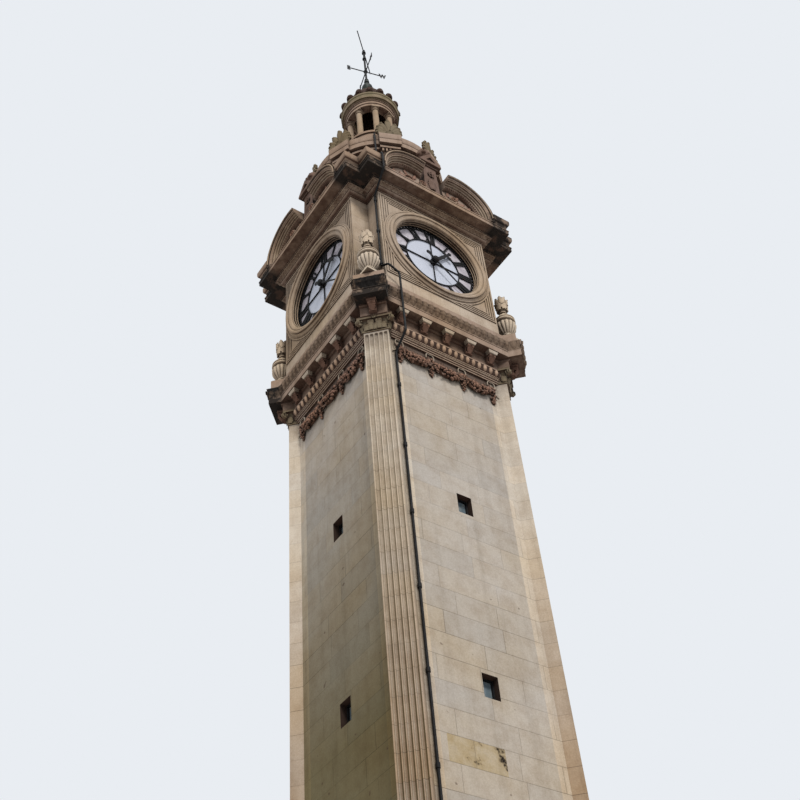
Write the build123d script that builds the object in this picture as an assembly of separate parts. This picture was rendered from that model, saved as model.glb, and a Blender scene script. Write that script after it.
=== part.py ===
from build123d import *
import math
import os

# A stone clock tower with a square shaft, fluted corner pilasters set on the
# diagonal, a clock stage with a dial on each side, broken pediments, and a
# round attic that carries an open columned lantern with a wind vane.
# Front is -Y, right is +X. The origin is the centre of the foot, +Z is up.

# Shaft, measured from the tower's axis
half_width = 1200
wall_thickness = 350
quoin_width = 400
pier_reach = 1690
pier_half = 181
flute_count = 5
flute_radius = 27
flute_pitch = 68
flute_margin = 32
pier_base_out = 45
pier_base_height = 225

# Heights of the stages, from the ground up
step_height = 150
plinth_height = 3300
plinth_cap_height = 300
shaft_height = 10560
architrave_height = 110
bead_height = 170
frieze_height = 230
corona_height = 130
leaf_band_height = 210
blocking_height = 190
clock_height = 2400
bed_height = 170
top_corona_height = 150
top_cyma_height = 220
attic_height = 1550
attic_cornice_height = 450
roof_height = 1220
column_height = 1140
ring_height = 360
dome_height = 900
finial_height = 600
rod_height = 1400

# Foot and plinth
step_tread = 120
plinth_reach = 260
plinth_thickness = 500
cap_reach = 120
cap_drip = 100
shaft_ledge = 90

# Main entablature: how far each band stands out from the shaft
fascia_out = 60
fascia_step = 14
bead_out = 96
frieze_out = 70
corona_out = 240
leaf_out = 236
leaf_flare = 26
blocking_out = 215
fillet = 15
ressaut_gain = 1.3
side_gain = 0.25

# Capitals of the pilasters
capital_out = 78
astragal_out = 16
volute_radius = 52
volute_width = 44
leaf_width = 92

# Brackets under the corona
bracket_width = 112
bracket_cap_width = 144
bracket_count = 5
bracket_pitch = 408
bracket_out = 135
bracket_cap_height = 48

# Festoons under the architrave
festoon_pitch = 576
festoon_edge = 826
festoon_top_gap = 150
swag_drop = 150
swag_radius = 52
drop_length = 340
drop_radius = 42

# Clock stage
clock_half = 1380
notch = 324
post_size = 200
dial_height = 1305
dial_radius = 840
surround_width = 190
surround_lip = 30
surround_out = 84
panel_half = 1030
reed_count = 4
reed_pitch = 46
reed_width = 20
reed_backing = 5
reed_depth = 16

# Dial: an iron frame in front of opal glass, and two hands on one arbor
glass_thickness = 16
glass_setback = 120
frame_depth = 24
dial_clearance = 1
rim_width = 22
ring_width = 13
track_share = 0.9
chapter_share = 0.62
minute_bar = 12
quarter_bar = 10
stroke_wide = 32
stroke_thin = 12
stroke_spread = 104
glyph_gap = 13
hand_gap = 22
hand_thickness = 14
arbor_radius = 26
minute_arbor_radius = 13
running_gap = 0.3
boss_radius = 60
hour_reach = 560
hour_root = 62
hour_tail = 110
minute_reach = 770
minute_root = 38
minute_tip = 12
minute_tail = 170
hour_angle = 41
minute_angle = 132

# Top cornice and pediments
bed_out = 130
top_out = 320
cyma_out = 30
notch_gain = 1.2
pediment_radius = 702
pediment_centre = 444
pediment_sink = 56
pediment_gap = 240
arch_cyma = 90
arch_corona = 130
arch_band = 205
arch_step = 48
arch_soffit = 126
tympanum_setback = 225
scroll_radius = 74

# Gabled pedestal and its finial, in the gap of each pediment
pedestal_face = 1540
pedestal_foot_width = 340
pedestal_top_width = 254
pedestal_depth = 290
pedestal_height = 1000
gable_width = 430
gable_face = 1608
gable_eaves = 45
gable_rise = 315
gable_border = 72
gable_sink = 55
knop_radius = 138
knop_height = 520

# Round attic
attic_radius = 1095
attic_thickness = 300
attic_pier_reach = 1130
attic_pier_half = 165
attic_pier_count = 8
attic_base_out = 60
attic_gap = 4
attic_cornice_out = 150
attic_side_gain = 0.3
dentil_count = 5
dentil_width = 34
dentil_height = 72
dentil_out = 62

# Shell-shaped blocks above the attic piers
shell_radius = 178
shell_lobe = 34
shell_lobe_count = 9
shell_depth = 150
shell_base_height = 110
shell_rise = 60
shell_setback = 45

# Lantern
lantern_plinth = 590
roof_outer = 962
roof_curb = 80
roof_hollow = 70
plinth_drum_height = 460
column_circle = 432
column_radius = 62
column_count = 8
abacus_size = 156
abacus_height = 36
ring_radius = 600
ring_cornice_out = 100
ring_inner = 340
knob_radius = 46
knob_count = 16
dome_shell = 90
dome_eye = 20
rib_out = 16
rib_angle = 6

# Finial, rod and vane
finial_radius = 122
rod_radius = 22
hub_radius = 46
arm_level_gap = 430
arm_length = 345
arm_radius = 11
arm_turn = -15
vane_height = 1330
vane_half = 530
vane_turn = 222
vane_sleeve_height = 80
collar_thickness = 30
arrow_width = 110
tail_length = 190
tail_height = 150
plate_thickness = 6

# Small windows of the shaft, glazed and fixed
window_width = 232
window_height = 318
window_low = 8780
window_rise = 2740
window_glass = 12
window_setback = 120
window_frame = 20
window_frame_depth = 30

# Door in the plinth, closed
door_width = 1000
door_height = 2100
door_thickness = 60
door_setback = 200
door_stile = 110
door_panel_sink = 14
door_band = 150
door_band_out = 45

# Conductor pipe on the front, beside the left pilaster
pipe_radius = 17
pipe_gap = 12
pipe_bend = 50
attic_pipe_angle = 234.5
collar_pitch = 1150
collar_radius = 26
collar_height = 60

# Urns on square blocks in the corners of the clock stage
urn_radius = 165
urn_height = 800
urn_block_width = 400
urn_block_depth = 230
urn_block_height = 150
urn_gap = 8
gadroon_count = 16
gadroon_radius = 24

# Levels worked out from the heights
z_plinth = 2 * step_height
z_cap = z_plinth + plinth_height
z_shaft = z_cap + plinth_cap_height
z_fascia = z_shaft + shaft_height
z_bead = z_fascia + architrave_height
z_frieze = z_bead + bead_height
z_corona = z_frieze + frieze_height
z_leaf = z_corona + corona_height
z_blocking = z_leaf + leaf_band_height
z_clock = z_blocking + blocking_height
z_bed = z_clock + clock_height
z_top_corona = z_bed + bed_height
z_top_cyma = z_top_corona + top_corona_height
z_attic = z_top_cyma + top_cyma_height
z_attic_cornice = z_attic + attic_height
z_roof = z_attic_cornice + attic_cornice_height
z_column = z_roof + roof_height
z_ring = z_column + column_height
z_dome = z_ring + ring_height
z_finial = z_dome + dome_height
z_rod = z_finial + finial_height
z_dial = z_clock + dial_height

sides = {"front": 0, "right": 90, "back": 180, "left": 270}
root_two = math.sqrt(2)
curve_steps = 4
wall_half = half_width - quoin_width
shaft_inner = half_width - wall_thickness


def turned(corner):
    """The four corners of a plan, from the points of one corner."""
    points = []
    for turn in range(4):
        angle = math.radians(90 * turn)
        for x, y in corner:
            points.append((x * math.cos(angle) - y * math.sin(angle),
                           x * math.sin(angle) + y * math.cos(angle)))
    return points


def corner_plan(side, reach, half):
    """Plan of a square with a narrow block, or a slot, across each corner."""
    inner = side - root_two * half
    near = (reach - half) / root_two
    far = (reach + half) / root_two
    return turned([(inner, -side), (near, -far), (far, -near), (side, -inner)])


def tower_plan(out):
    """Plan of the shaft and its pilasters, standing out by a distance."""
    return corner_plan(half_width + out, pier_reach + ressaut_gain * out, pier_half + side_gain * out)


def slotted_plan(out):
    """Plan of the bands between the capitals, with a slot that each capital fills."""
    return corner_plan(half_width + out, capital_back, pier_half)


def notched_plan(out):
    """Plan of the clock stage: a square with its corners cut back."""
    side = clock_half + out
    inner = clock_half - notch + notch_gain * out
    return turned([(inner, -side), (inner, -inner), (side, -inner)])


def block_plan(near, reach, half, gain=1):
    """Plan of a block that stands out along +X, as a function of how far its moulding stands out."""
    def plan(out):
        side = half + gain * out
        return [(near, -side), (reach + out, -side), (reach + out, side), (near, side)]
    return plan


def prism(points, bottom, top):
    """A straight block from a plan outline."""
    return extrude(Plane.XY.offset(bottom) * make_face(Polyline(*points, close=True)), top - bottom)


def slab(x_size, y_low, y_high, bottom, top, x_mid=0):
    """A plain box between two y faces, centred on x_mid."""
    size_y = y_high - y_low
    return Pos(x_mid, y_low + size_y / 2, bottom) * Box(
        x_size, size_y, top - bottom, align=(Align.CENTER, Align.CENTER, Align.MIN))


def rod_up(radius, bottom, top):
    return Pos(0, 0, bottom) * Cylinder(radius, top - bottom, align=(Align.CENTER, Align.CENTER, Align.MIN))


def quarter(start, end, convex):
    """Points of a quarter-round between two (out, height) points; convex leaves its start level."""
    points = []
    for step in range(curve_steps + 1):
        angle = math.pi / 2 * step / curve_steps
        rise, run = 1 - math.cos(angle), math.sin(angle)
        share_out, share_up = (run, rise) if convex else (rise, run)
        points.append((start[0] + (end[0] - start[0]) * share_out, start[1] + (end[1] - start[1]) * share_up))
    return points


def cyma(start, end):
    """Points of an S curve, hollow below and round above."""
    middle = ((start[0] + end[0]) / 2, (start[1] + end[1]) / 2)
    return quarter(start, middle, False) + quarter(middle, end, True)


def bead(out, low, high, bulge):
    """Points of a half-round that stands out from a face."""
    count = curve_steps + 2
    points = []
    for step in range(count + 1):
        angle = math.pi * step / count
        points.append((out + bulge * math.sin(angle), (low + high) / 2 - (high - low) / 2 * math.cos(angle)))
    return points


def band(out, low, high):
    return [(out, low), (out, high)]


def moulded(plan, profile):
    """A solid whose outline at each height is plan(out), from a profile of (out, height) points."""
    body = None
    run = [profile[0]]
    for point in profile[1:] + [None]:
        if point is not None and point[1] > run[-1][1] + 0.01:
            run.append(point)
            continue
        if len(run) > 1:
            outlines = [Plane.XY.offset(z) * make_face(Polyline(*plan(out), close=True)) for out, z in run]
            piece = loft(outlines, ruled=True)
            body = piece if body is None else body + piece
        if point is not None:
            run = [point]
    return body


def turned_ring(radius, profile, inner):
    """A ring whose outer face follows a profile of (out, height) points."""
    points = [(inner, profile[0][1])]
    for out, z in profile:
        if (radius + out, z) != points[-1]:
            points.append((radius + out, z))
    points.append((inner, profile[-1][1]))
    return revolve(Plane.XZ * Polygon(*points, align=None), Axis.Z)


def on_side(shape, angle):
    return Rot(0, 0, angle) * shape


def round_the_tower(shape, count, first=0):
    """Copies of a shape at equal turns about the tower's axis."""
    return [Rot(0, 0, first + 360 / count * index) * shape for index in range(count)]


def facing(x, y, z):
    """A plane standing on the front, with its normal pointing outwards."""
    return Plane(origin=(x, y, z), x_dir=(1, 0, 0), z_dir=(0, -1, 0))


def flat_ring(outer, inner):
    return Circle(outer) - Circle(inner)


parts = {}

# Foot: two solid steps whose top is the ground floor
plinth_face = half_width + plinth_reach
foot_profile = band(plinth_reach + 2 * step_tread, 0, step_height)
foot_profile += band(plinth_reach + step_tread, step_height, z_plinth)
parts["base_step"] = moulded(tower_plan, foot_profile)

# Plinth walls, with a doorway in the front one
plinth_inner = plinth_face - plinth_thickness
plinth_wall = slab(2 * plinth_inner, -plinth_face, -plinth_inner, z_plinth, z_cap)
doorway = slab(door_width, -plinth_face, -plinth_inner, z_plinth, z_plinth + door_height)
for side, angle in sides.items():
    wall = plinth_wall - doorway if side == "front" else plinth_wall
    parts["plinth_" + side + "_wall"] = on_side(wall, angle)

corner_block = prism(tower_plan(plinth_reach), z_plinth, z_cap)
corner_block -= slab(2 * plinth_inner, -2 * plinth_face, 2 * plinth_face, z_plinth, z_cap)
corner_block -= slab(4 * plinth_face, -plinth_inner, plinth_inner, z_plinth, z_cap)
parts["plinth_corners"] = corner_block

# Panelled door and the plain stone band round it
door_y = -plinth_face + door_setback
door = slab(door_width, door_y, door_y + door_thickness, z_plinth, z_plinth + door_height)
panel_width = (door_width - 3 * door_stile) / 2
panel_height = (door_height - 4 * door_stile) / 3
for column in (-1, 1):
    for row in range(3):
        low = z_plinth + door_stile + row * (panel_height + door_stile)
        middle = column * (panel_width + door_stile) / 2
        door -= slab(panel_width, door_y, door_y + door_panel_sink, low, low + panel_height, x_mid=middle)
        door -= slab(panel_width, door_y + door_thickness - door_panel_sink, door_y + door_thickness,
                     low, low + panel_height, x_mid=middle)
parts["door"] = door
door_frame = slab(door_width + 2 * door_band, -plinth_face - door_band_out, -plinth_face,
                  z_plinth, z_plinth + door_height + door_band)
door_frame -= slab(door_width, -2 * plinth_face, 0, z_plinth, z_plinth + door_height)
parts["door_surround"] = door_frame

# Plinth cap: an ovolo, a drip band and a sloping top
cap_top = z_cap + plinth_cap_height
cap_profile = band(plinth_reach, z_cap, z_cap + 2 * fillet)
cap_profile += quarter((plinth_reach, z_cap + 2 * fillet), (plinth_reach + cap_reach / 2, z_shaft - 2 * cap_drip), True)
cap_profile += band(plinth_reach + cap_reach, z_shaft - 2 * cap_drip, z_shaft - cap_drip)
cap_profile += [(shaft_ledge, cap_top)]
plinth_cap = moulded(tower_plan, cap_profile)
plinth_cap -= slab(2 * shaft_inner, -shaft_inner, shaft_inner, z_cap, z_shaft)
parts["plinth_cap"] = plinth_cap

# Shaft walls with their small windows
window_levels = [window_low, window_low + window_rise]
shaft_wall = slab(2 * wall_half, -half_width, -shaft_inner, z_shaft, z_fascia)
for level in window_levels:
    shaft_wall -= slab(window_width, -half_width, -shaft_inner, level, level + window_height)
for side, angle in sides.items():
    parts["shaft_" + side + "_wall"] = on_side(shaft_wall, angle)

# Corner pilasters, each a fluted pier on the diagonal in one with its corner of the shaft
pier_inner = half_width - root_two * pier_half
corner_reach = root_two * half_width - pier_half
near = (pier_reach - pier_half) / root_two
far = (pier_reach + pier_half) / root_two
pier = prism([(wall_half, -half_width), (pier_inner, -half_width), (near, -far), (far, -near),
              (half_width, -pier_inner), (half_width, -wall_half), (shaft_inner, -wall_half),
              (wall_half, -shaft_inner)], z_shaft, z_fascia)
base_top = z_shaft + pier_base_height
torus_low = z_shaft + pier_base_height * 0.36
torus_top = z_shaft + pier_base_height * 0.64
base_profile = band(pier_base_out, z_shaft, torus_low)
base_profile += bead(pier_base_out / 2, torus_low, torus_top, pier_base_out / 2)
base_profile += quarter((pier_base_out / 3, torus_top), (fillet / 3, base_top - 2 * fillet), True)
base_profile += bead(fillet / 3, base_top - 2 * fillet, base_top, fillet)
pier_back = corner_reach - 2 * pier_base_out
pier_base = moulded(block_plan(pier_back, pier_reach, pier_half, gain=side_gain), base_profile)
flute_low = base_top + flute_margin + flute_radius
flute_top = z_fascia - flute_margin - flute_radius
flute = rod_up(flute_radius, flute_low, flute_top)
flute += Pos(0, 0, flute_low) * Sphere(flute_radius) + Pos(0, 0, flute_top) * Sphere(flute_radius)
pier += Rot(0, 0, -45) * pier_base
for index in range(flute_count):
    shift = (index - (flute_count - 1) / 2) * flute_pitch
    pier -= Rot(0, 0, -45) * (Pos(pier_reach, shift, 0) * flute)
parts["corner_pilasters"] = Compound(round_the_tower(pier, 4))

# Main entablature: bands between the capitals, then bands that follow the whole plan
capital_back = corner_reach - 2 * fillet
fascia_height = (architrave_height - fillet) / 3
low_profile = []
for index in range(3):
    out = fascia_out - (2 - index) * fascia_step
    low_profile += band(out, z_fascia + index * fascia_height, z_fascia + (index + 1) * fascia_height)
low_profile += band(fascia_out + fascia_step, z_bead - fillet, z_bead)
low_profile += quarter((fascia_out, z_bead), (bead_out, z_frieze - 3 * fillet), True)
low_profile += band(bead_out + fillet / 2, z_frieze - 3 * fillet, z_frieze - fillet)
low_profile += band(frieze_out, z_frieze - fillet, z_frieze)
high_profile = band(frieze_out, z_frieze, z_corona - 3 * fillet)
high_profile += quarter((frieze_out, z_corona - 3 * fillet), (frieze_out + 2 * fillet, z_corona), True)
high_profile += band(corona_out, z_corona, z_leaf - fillet) + band(corona_out + fillet / 2, z_leaf - fillet, z_leaf)
high_profile += cyma((leaf_out, z_leaf), (leaf_out + leaf_flare, z_blocking - fillet))
high_profile += band(leaf_out + leaf_flare + fillet / 3, z_blocking - fillet, z_blocking)
high_profile += band(blocking_out, z_blocking, z_clock - fillet) + [(blocking_out - 2 * fillet, z_clock)]
entablature = moulded(slotted_plan, low_profile) + moulded(tower_plan, high_profile)
entablature -= slab(2 * shaft_inner, -shaft_inner, shaft_inner, z_fascia, z_clock)
parts["main_entablature"] = entablature

# Capitals: a bell with two rows of leaves, corner volutes and an abacus
capital_rise = z_frieze - z_fascia
bell_low = z_fascia + 2 * fillet
bell_top = z_frieze - 3 * fillet
capital_profile = bead(0, z_fascia, bell_low, astragal_out)
capital_profile += quarter((fillet / 3, bell_low), (capital_out * 0.6, bell_top), False)
capital_profile += band(capital_out, bell_top, z_frieze)
capital = moulded(block_plan(capital_back, pier_reach, pier_half), capital_profile)


def leaf(width, height, curl):
    """A leaf against the front of the bell, curling out at its tip."""
    side_view = Polygon((0, 0), (8, height * 0.6), (curl, height), (curl + 12, height * 0.86),
                        (24, height * 0.5), (18, 0), align=None)
    blade = extrude(Plane.XZ * side_view, width / 2, both=True)
    front_view = Pos(0, (height - width / 2) / 2) * Rectangle(width, height - width / 2)
    front_view += Pos(0, height - width / 2) * Circle(width / 2)
    return blade & extrude(Plane.YZ * front_view, 4 * capital_out)


for shift in (-leaf_width * 1.3, 0, leaf_width * 1.3):
    capital += Pos(pier_reach, shift, bell_low) * leaf(leaf_width, capital_rise * 0.42, 34)
for shift in (-leaf_width * 0.65, leaf_width * 0.65):
    capital += Pos(pier_reach + 4, shift, bell_low) * leaf(leaf_width, capital_rise * 0.68, 52)
volute = Rot(90, 0, 0) * Cylinder(volute_radius, volute_width)
for side in (-1, 1):
    place = Pos(pier_reach + capital_out - volute_radius / 2, side * (pier_half + capital_out - volute_radius / 2),
                bell_top - volute_radius)
    capital += place * (Rot(0, 0, 45 * side) * volute)
capital = Rot(0, 0, -45) * capital - entablature
parts["pilaster_capitals"] = Compound(round_the_tower(capital, 4))

# Scrolled brackets under the corona, five on each side and one on each diagonal


def bracket(face):
    """A console with a plain cap, standing out from a face."""
    low = z_frieze + fillet
    cap_low = z_corona - bracket_cap_height
    outline = Polygon((0, low), (22, low), (44, low + 60), (62, low + 110), (bracket_out - 18, cap_low - 30),
                      (bracket_out - 10, cap_low), (0, cap_low), align=None)
    outline += Pos(30, low + 30) * Circle(26) + Pos(bracket_out - 46, cap_low - 34) * Circle(36)
    console = extrude(Plane.XZ * outline, bracket_width / 2, both=True)
    console = console & slab(4 * bracket_out, -bracket_width, bracket_width, z_frieze, z_corona,
                             x_mid=2 * bracket_out)
    console += Pos(bracket_out / 2, 0, cap_low) * Box(
        bracket_out, bracket_cap_width, bracket_cap_height, align=(Align.CENTER, Align.CENTER, Align.MIN))
    return Pos(face, 0, 0) * console


brackets = []
bed_cut = moulded(tower_plan, high_profile)
for turn in range(4):
    for index in range(bracket_count):
        shift = (index - (bracket_count - 1) / 2) * bracket_pitch
        piece = Pos(0, shift, 0) * bracket(half_width + frieze_out) - bed_cut
        brackets.append(Rot(0, 0, 90 * turn) * piece)
    corner_piece = Rot(0, 0, 45) * bracket(pier_reach + ressaut_gain * frieze_out) - bed_cut
    brackets.append(Rot(0, 0, 90 * turn) * corner_piece)
parts["cornice_brackets"] = Compound(brackets)

# Festoons: three swags and four drops on each side, carved in half relief
festoon_top = z_fascia - festoon_top_gap
ties = [-festoon_edge, -festoon_pitch / 2, festoon_pitch / 2, festoon_edge]
relief = slab(4 * half_width, -2 * half_width, -half_width, z_shaft, z_fascia)
festoons = []
for left, right in zip(ties[:-1], ties[1:]):
    span = ThreePointArc((left, -half_width, festoon_top), ((left + right) / 2, -half_width, festoon_top - swag_drop),
                         (right, -half_width, festoon_top))
    rope = sweep(Plane(origin=span @ 0, z_dir=span % 0) * Circle(swag_radius), path=span)
    festoons.append(rope & relief)
garland = Compound(festoons)
for tie in ties:
    lengths = [0.3, 0.62, 0.88]
    for share, swell in zip(lengths, (1, 0.85, 0.6)):
        garland += Pos(tie, -half_width, festoon_top - share * drop_length) * Sphere(drop_radius * swell) & relief
festoon = garland
parts["festoons"] = Compound([on_side(festoon, angle) for angle in sides.values()])


def lathed(points):
    """A solid of revolution from (radius, height, bow) points; the bow rounds the line to the next point."""
    edges = [Line((points[-1][0], points[-1][1]), (points[0][0], points[0][1]))]
    for (r_low, z_low, bow), (r_high, z_high, _) in zip(points[:-1], points[1:]):
        if bow == 0:
            edges.append(Line((r_low, z_low), (r_high, z_high)))
            continue
        length = math.hypot(r_high - r_low, z_high - z_low)
        middle = ((r_low + r_high) / 2 + bow * (z_high - z_low) / length,
                  (z_low + z_high) / 2 - bow * (r_high - r_low) / length)
        edges.append(ThreePointArc((r_low, z_low), middle, (r_high, z_high)))
    return revolve(Plane.XZ * make_face(Curve() + edges), Axis.Z)


# Clock stage walls, each with a round opening for its dial
notch_face = clock_half - notch
clock_wall = slab(2 * notch_face, -clock_half, -notch_face, z_clock, z_bed)
clock_wall -= facing(0, -clock_half, z_dial) * Cylinder(dial_radius, 2 * notch)
post = slab(post_size, -notch_face, -notch_face + post_size, z_clock, z_bed, x_mid=notch_face - post_size / 2)
for side, angle in sides.items():
    parts["clock_" + side + "_wall"] = on_side(clock_wall, angle)
parts["clock_corner_posts"] = Compound(round_the_tower(post, 4))

# Reeded panels in the corners round each dial
surround_outer = dial_radius + surround_width
panel = Rectangle(2 * panel_half, 2 * panel_half) - Circle(surround_outer)
reeds = Sketch()
for index in range(reed_count):
    half = panel_half - index * reed_pitch
    reeds += Rectangle(2 * half, 2 * half) - Rectangle(2 * (half - reed_width), 2 * (half - reed_width))
reeds -= Circle(surround_outer)
spandrel = extrude(panel, reed_backing) + extrude(reeds, reed_depth)
spandrel = facing(0, -clock_half, z_dial) * spandrel
parts["dial_spandrels"] = Compound(round_the_tower(spandrel, 4))

# Moulded round surround of each dial
lip = dial_radius - surround_lip
inner_step = dial_radius + surround_width * 0.14
torus_end = dial_radius + surround_width * 0.5
outer_step = dial_radius + surround_width * 0.84
surround_profile = [(lip, 0), (lip, surround_out * 0.36)]
surround_profile += quarter((lip, surround_out * 0.36), (inner_step, surround_out * 0.74), False)
surround_profile += [(inner_step + fillet, surround_out * 0.74)]
torus_rise = surround_out * 0.26
for step in range(1, 2 * curve_steps):
    angle = math.pi * step / (2 * curve_steps)
    across = (inner_step + fillet + torus_end) / 2 - (torus_end - inner_step - fillet) / 2 * math.cos(angle)
    surround_profile.append((across, surround_out * 0.74 + torus_rise * math.sin(angle)))
surround_profile += [(torus_end, surround_out * 0.74), (torus_end, surround_out * 0.62)]
surround_profile += [(outer_step, surround_out * 0.34), (outer_step, surround_out * 0.24)]
surround_profile += [(surround_outer, surround_out * 0.24), (surround_outer, 0)]
surround = revolve(Plane.XZ * Polygon(*surround_profile, align=None), Axis.Z)
surround = facing(0, -clock_half, z_dial) * surround
parts["dial_surrounds"] = Compound(round_the_tower(surround, 4))

# Dials: opal glass behind an iron frame whose numeral bars tie the two chapter rings
glass_y = -clock_half + glass_setback
dial_plane = facing(0, glass_y, z_dial)
dial_edge = dial_radius - dial_clearance
glass = Cylinder(dial_edge, glass_thickness, align=(Align.CENTER, Align.CENTER, Align.MAX))
glass -= Cylinder(arbor_radius + dial_clearance, 4 * glass_thickness)
parts["dial_glasses"] = Compound(round_the_tower(dial_plane * glass, 4))

track_radius = dial_radius * track_share
chapter_radius = dial_radius * chapter_share
numeral_height = track_radius - chapter_radius


def stroke(x_foot, x_head, width):
    """One bar of a numeral, from the inner ring to the minute track."""
    return Polygon((x_foot - width / 2, -4), (x_foot + width / 2, -4),
                   (x_head + width / 2, numeral_height + 4), (x_head - width / 2, numeral_height + 4), align=None)


def numeral(text):
    """The bars of a Roman numeral, centred on its middle."""
    half = stroke_spread / 2
    bars, x = [], 0
    for letter in text:
        width = stroke_wide if letter == "I" else stroke_spread
        middle = x + width / 2
        if letter == "I":
            bars.append(stroke(middle, middle, stroke_wide))
        if letter == "V":
            bars += [stroke(middle, middle - half + stroke_wide / 2, stroke_wide),
                     stroke(middle, middle + half - stroke_thin, stroke_thin)]
        if letter == "X":
            bars += [stroke(middle + half - stroke_wide / 2, middle - half + stroke_wide / 2, stroke_wide),
                     stroke(middle - half + stroke_thin, middle + half - stroke_thin, stroke_thin)]
        x += width + glyph_gap
    return Pos(-(x - glyph_gap) / 2, 0) * (Sketch() + bars)


numerals = ["XII", "I", "II", "III", "IIII", "V", "VI", "VII", "VIII", "IX", "X", "XI"]
dial_sketch = [flat_ring(dial_edge, dial_edge - rim_width), flat_ring(track_radius + ring_width, track_radius),
               flat_ring(chapter_radius, chapter_radius - ring_width), Circle(boss_radius)]
minute_length = dial_edge - track_radius - ring_width
for minute in range(60):
    width = minute_bar * (2 if minute % 5 == 0 else 1)
    bar = Pos(0, track_radius + ring_width + minute_length / 2) * Rectangle(width, minute_length)
    dial_sketch.append(Rot(0, 0, -6 * minute) * bar)
for hour, text in enumerate(numerals):
    dial_sketch.append(Rot(0, 0, -30 * hour) * (Pos(0, chapter_radius) * numeral(text)))
for turn in range(4):
    dial_sketch.append(Rot(0, 0, 90 * turn) * (Pos(0, chapter_radius / 2) * Rectangle(quarter_bar, chapter_radius)))
dial_frame = extrude(Sketch() + dial_sketch, frame_depth) - Cylinder(arbor_radius + running_gap, 4 * frame_depth)
parts["dial_frames"] = Compound(round_the_tower(dial_plane * dial_frame, 4))


def hand(outline, low, arbor):
    """A flat hand at twelve with the arbor that carries it, down to the glass."""
    blade = Plane.XY.offset(low) * (outline + Circle(boss_radius))
    return extrude(blade, hand_thickness) + rod_up(arbor, 0, low + hand_thickness)


hour_low = frame_depth + hand_gap
minute_low = hour_low + hand_thickness + hand_gap
cross_level = hour_reach * 0.76
hour_outline = Polygon((-hour_root / 2, -hour_tail), (hour_root / 2, -hour_tail), (hour_root * 0.6, 0),
                       (hour_root * 0.4, cross_level), (-hour_root * 0.4, cross_level), (-hour_root * 0.6, 0), align=None)
hour_outline += Pos(0, cross_level) * Rectangle(hour_root * 2.6, hour_root * 0.7)
hour_outline += Pos(0, (cross_level + hour_reach) / 2 - hour_root / 4) * Rectangle(hour_root * 0.7, hour_reach - cross_level)
for x, y in ((-hour_root * 1.2, cross_level), (hour_root * 1.2, cross_level), (0, hour_reach - hour_root * 0.55)):
    hour_outline += Pos(x, y) * Circle(hour_root * 0.55)
minute_outline = Polygon((-minute_root / 2, -minute_tail), (minute_root / 2, -minute_tail), (minute_root / 2, 0),
                         (minute_tip / 2, minute_reach), (-minute_tip / 2, minute_reach),
                         (-minute_root / 2, 0), align=None)
minute_outline += Pos(0, -minute_tail) * Circle(minute_root)
hour_hand = hand(hour_outline, hour_low, arbor_radius)
hour_hand -= Cylinder(minute_arbor_radius + running_gap, 8 * minute_low)
minute_hand = hand(minute_outline, minute_low, minute_arbor_radius)
for side, angle in sides.items():
    parts["hour_hand_" + side] = on_side(dial_plane * (Rot(0, 0, -hour_angle) * hour_hand), angle)
    parts["minute_hand_" + side] = on_side(dial_plane * (Rot(0, 0, -minute_angle) * minute_hand), angle)

# Top cornice, which breaks back at the corners and is cut away behind the pediments
attic_inner = attic_radius - attic_thickness
tympanum_back = attic_pier_reach + attic_base_out + attic_gap
top_face = clock_half + top_out + cyma_out
top_profile = band(fillet, z_bed, z_bed + fillet)
top_profile += quarter((fillet, z_bed + fillet), (bed_out / 2, z_bed + bed_height * 0.42), True)
top_profile += band(bed_out * 0.58, z_bed + bed_height * 0.42, z_bed + bed_height * 0.5)
top_profile += cyma((bed_out * 0.58, z_bed + bed_height * 0.5), (bed_out, z_top_corona - 2 * fillet))
top_profile += band(bed_out + fillet, z_top_corona - 2 * fillet, z_top_corona)
top_profile += band(top_out, z_top_corona, z_top_corona + top_corona_height * 0.54)
top_profile += band(top_out + fillet / 2, z_top_corona + top_corona_height * 0.54, z_top_cyma - 3 * fillet)
top_profile += band(top_out - fillet, z_top_cyma - 3 * fillet, z_top_cyma)
top_profile += cyma((top_out - fillet, z_top_cyma), (top_out + cyma_out, z_attic - 3 * fillet))
top_profile += band(top_out + cyma_out, z_attic - 3 * fillet, z_attic)
top_cornice = moulded(notched_plan, top_profile) - rod_up(attic_inner, z_bed, z_attic)
recess = slab(2 * (pediment_centre + pediment_radius), -2 * top_face, -tympanum_back, z_top_cyma, 2 * z_attic)
for angle in sides.values():
    top_cornice -= on_side(recess, angle)
parts["top_cornice"] = top_cornice

# Broken pediments: two moulded half arches on each side, each cut off beside the gap
arch_depth = top_face - tympanum_back
arch_profile = [(0, 0), (pediment_radius, 0), (pediment_radius, arch_depth)]
arch_profile += [(r, arch_depth - d) for r, d in cyma((pediment_radius, 0), (pediment_radius - arch_cyma, arch_step))]
for inset, depth in ((arch_cyma + fillet, arch_step), (arch_cyma + fillet, arch_soffit), (arch_corona, arch_soffit),
                     (arch_corona, arch_soffit + fillet)):
    arch_profile.append((pediment_radius - inset, arch_depth - depth))
for r, d in quarter((pediment_radius - arch_corona, arch_soffit + fillet),
                    (pediment_radius - arch_band, tympanum_setback - fillet), True):
    arch_profile.append((r, arch_depth - d))
arch_profile += [(pediment_radius - arch_band, arch_depth - tympanum_setback), (0, arch_depth - tympanum_setback)]
arch_face = []
for point in arch_profile:
    if not arch_face or math.dist(point, arch_face[-1]) > 0.01:
        arch_face.append(point)
arch_section = Plane.XZ * Polygon(*arch_face, align=None)
arch_place = facing(pediment_centre, -tympanum_back, z_top_cyma + pediment_sink)
half_arch = arch_place * revolve(arch_section, Axis.Z, revolution_arc=120)
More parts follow.
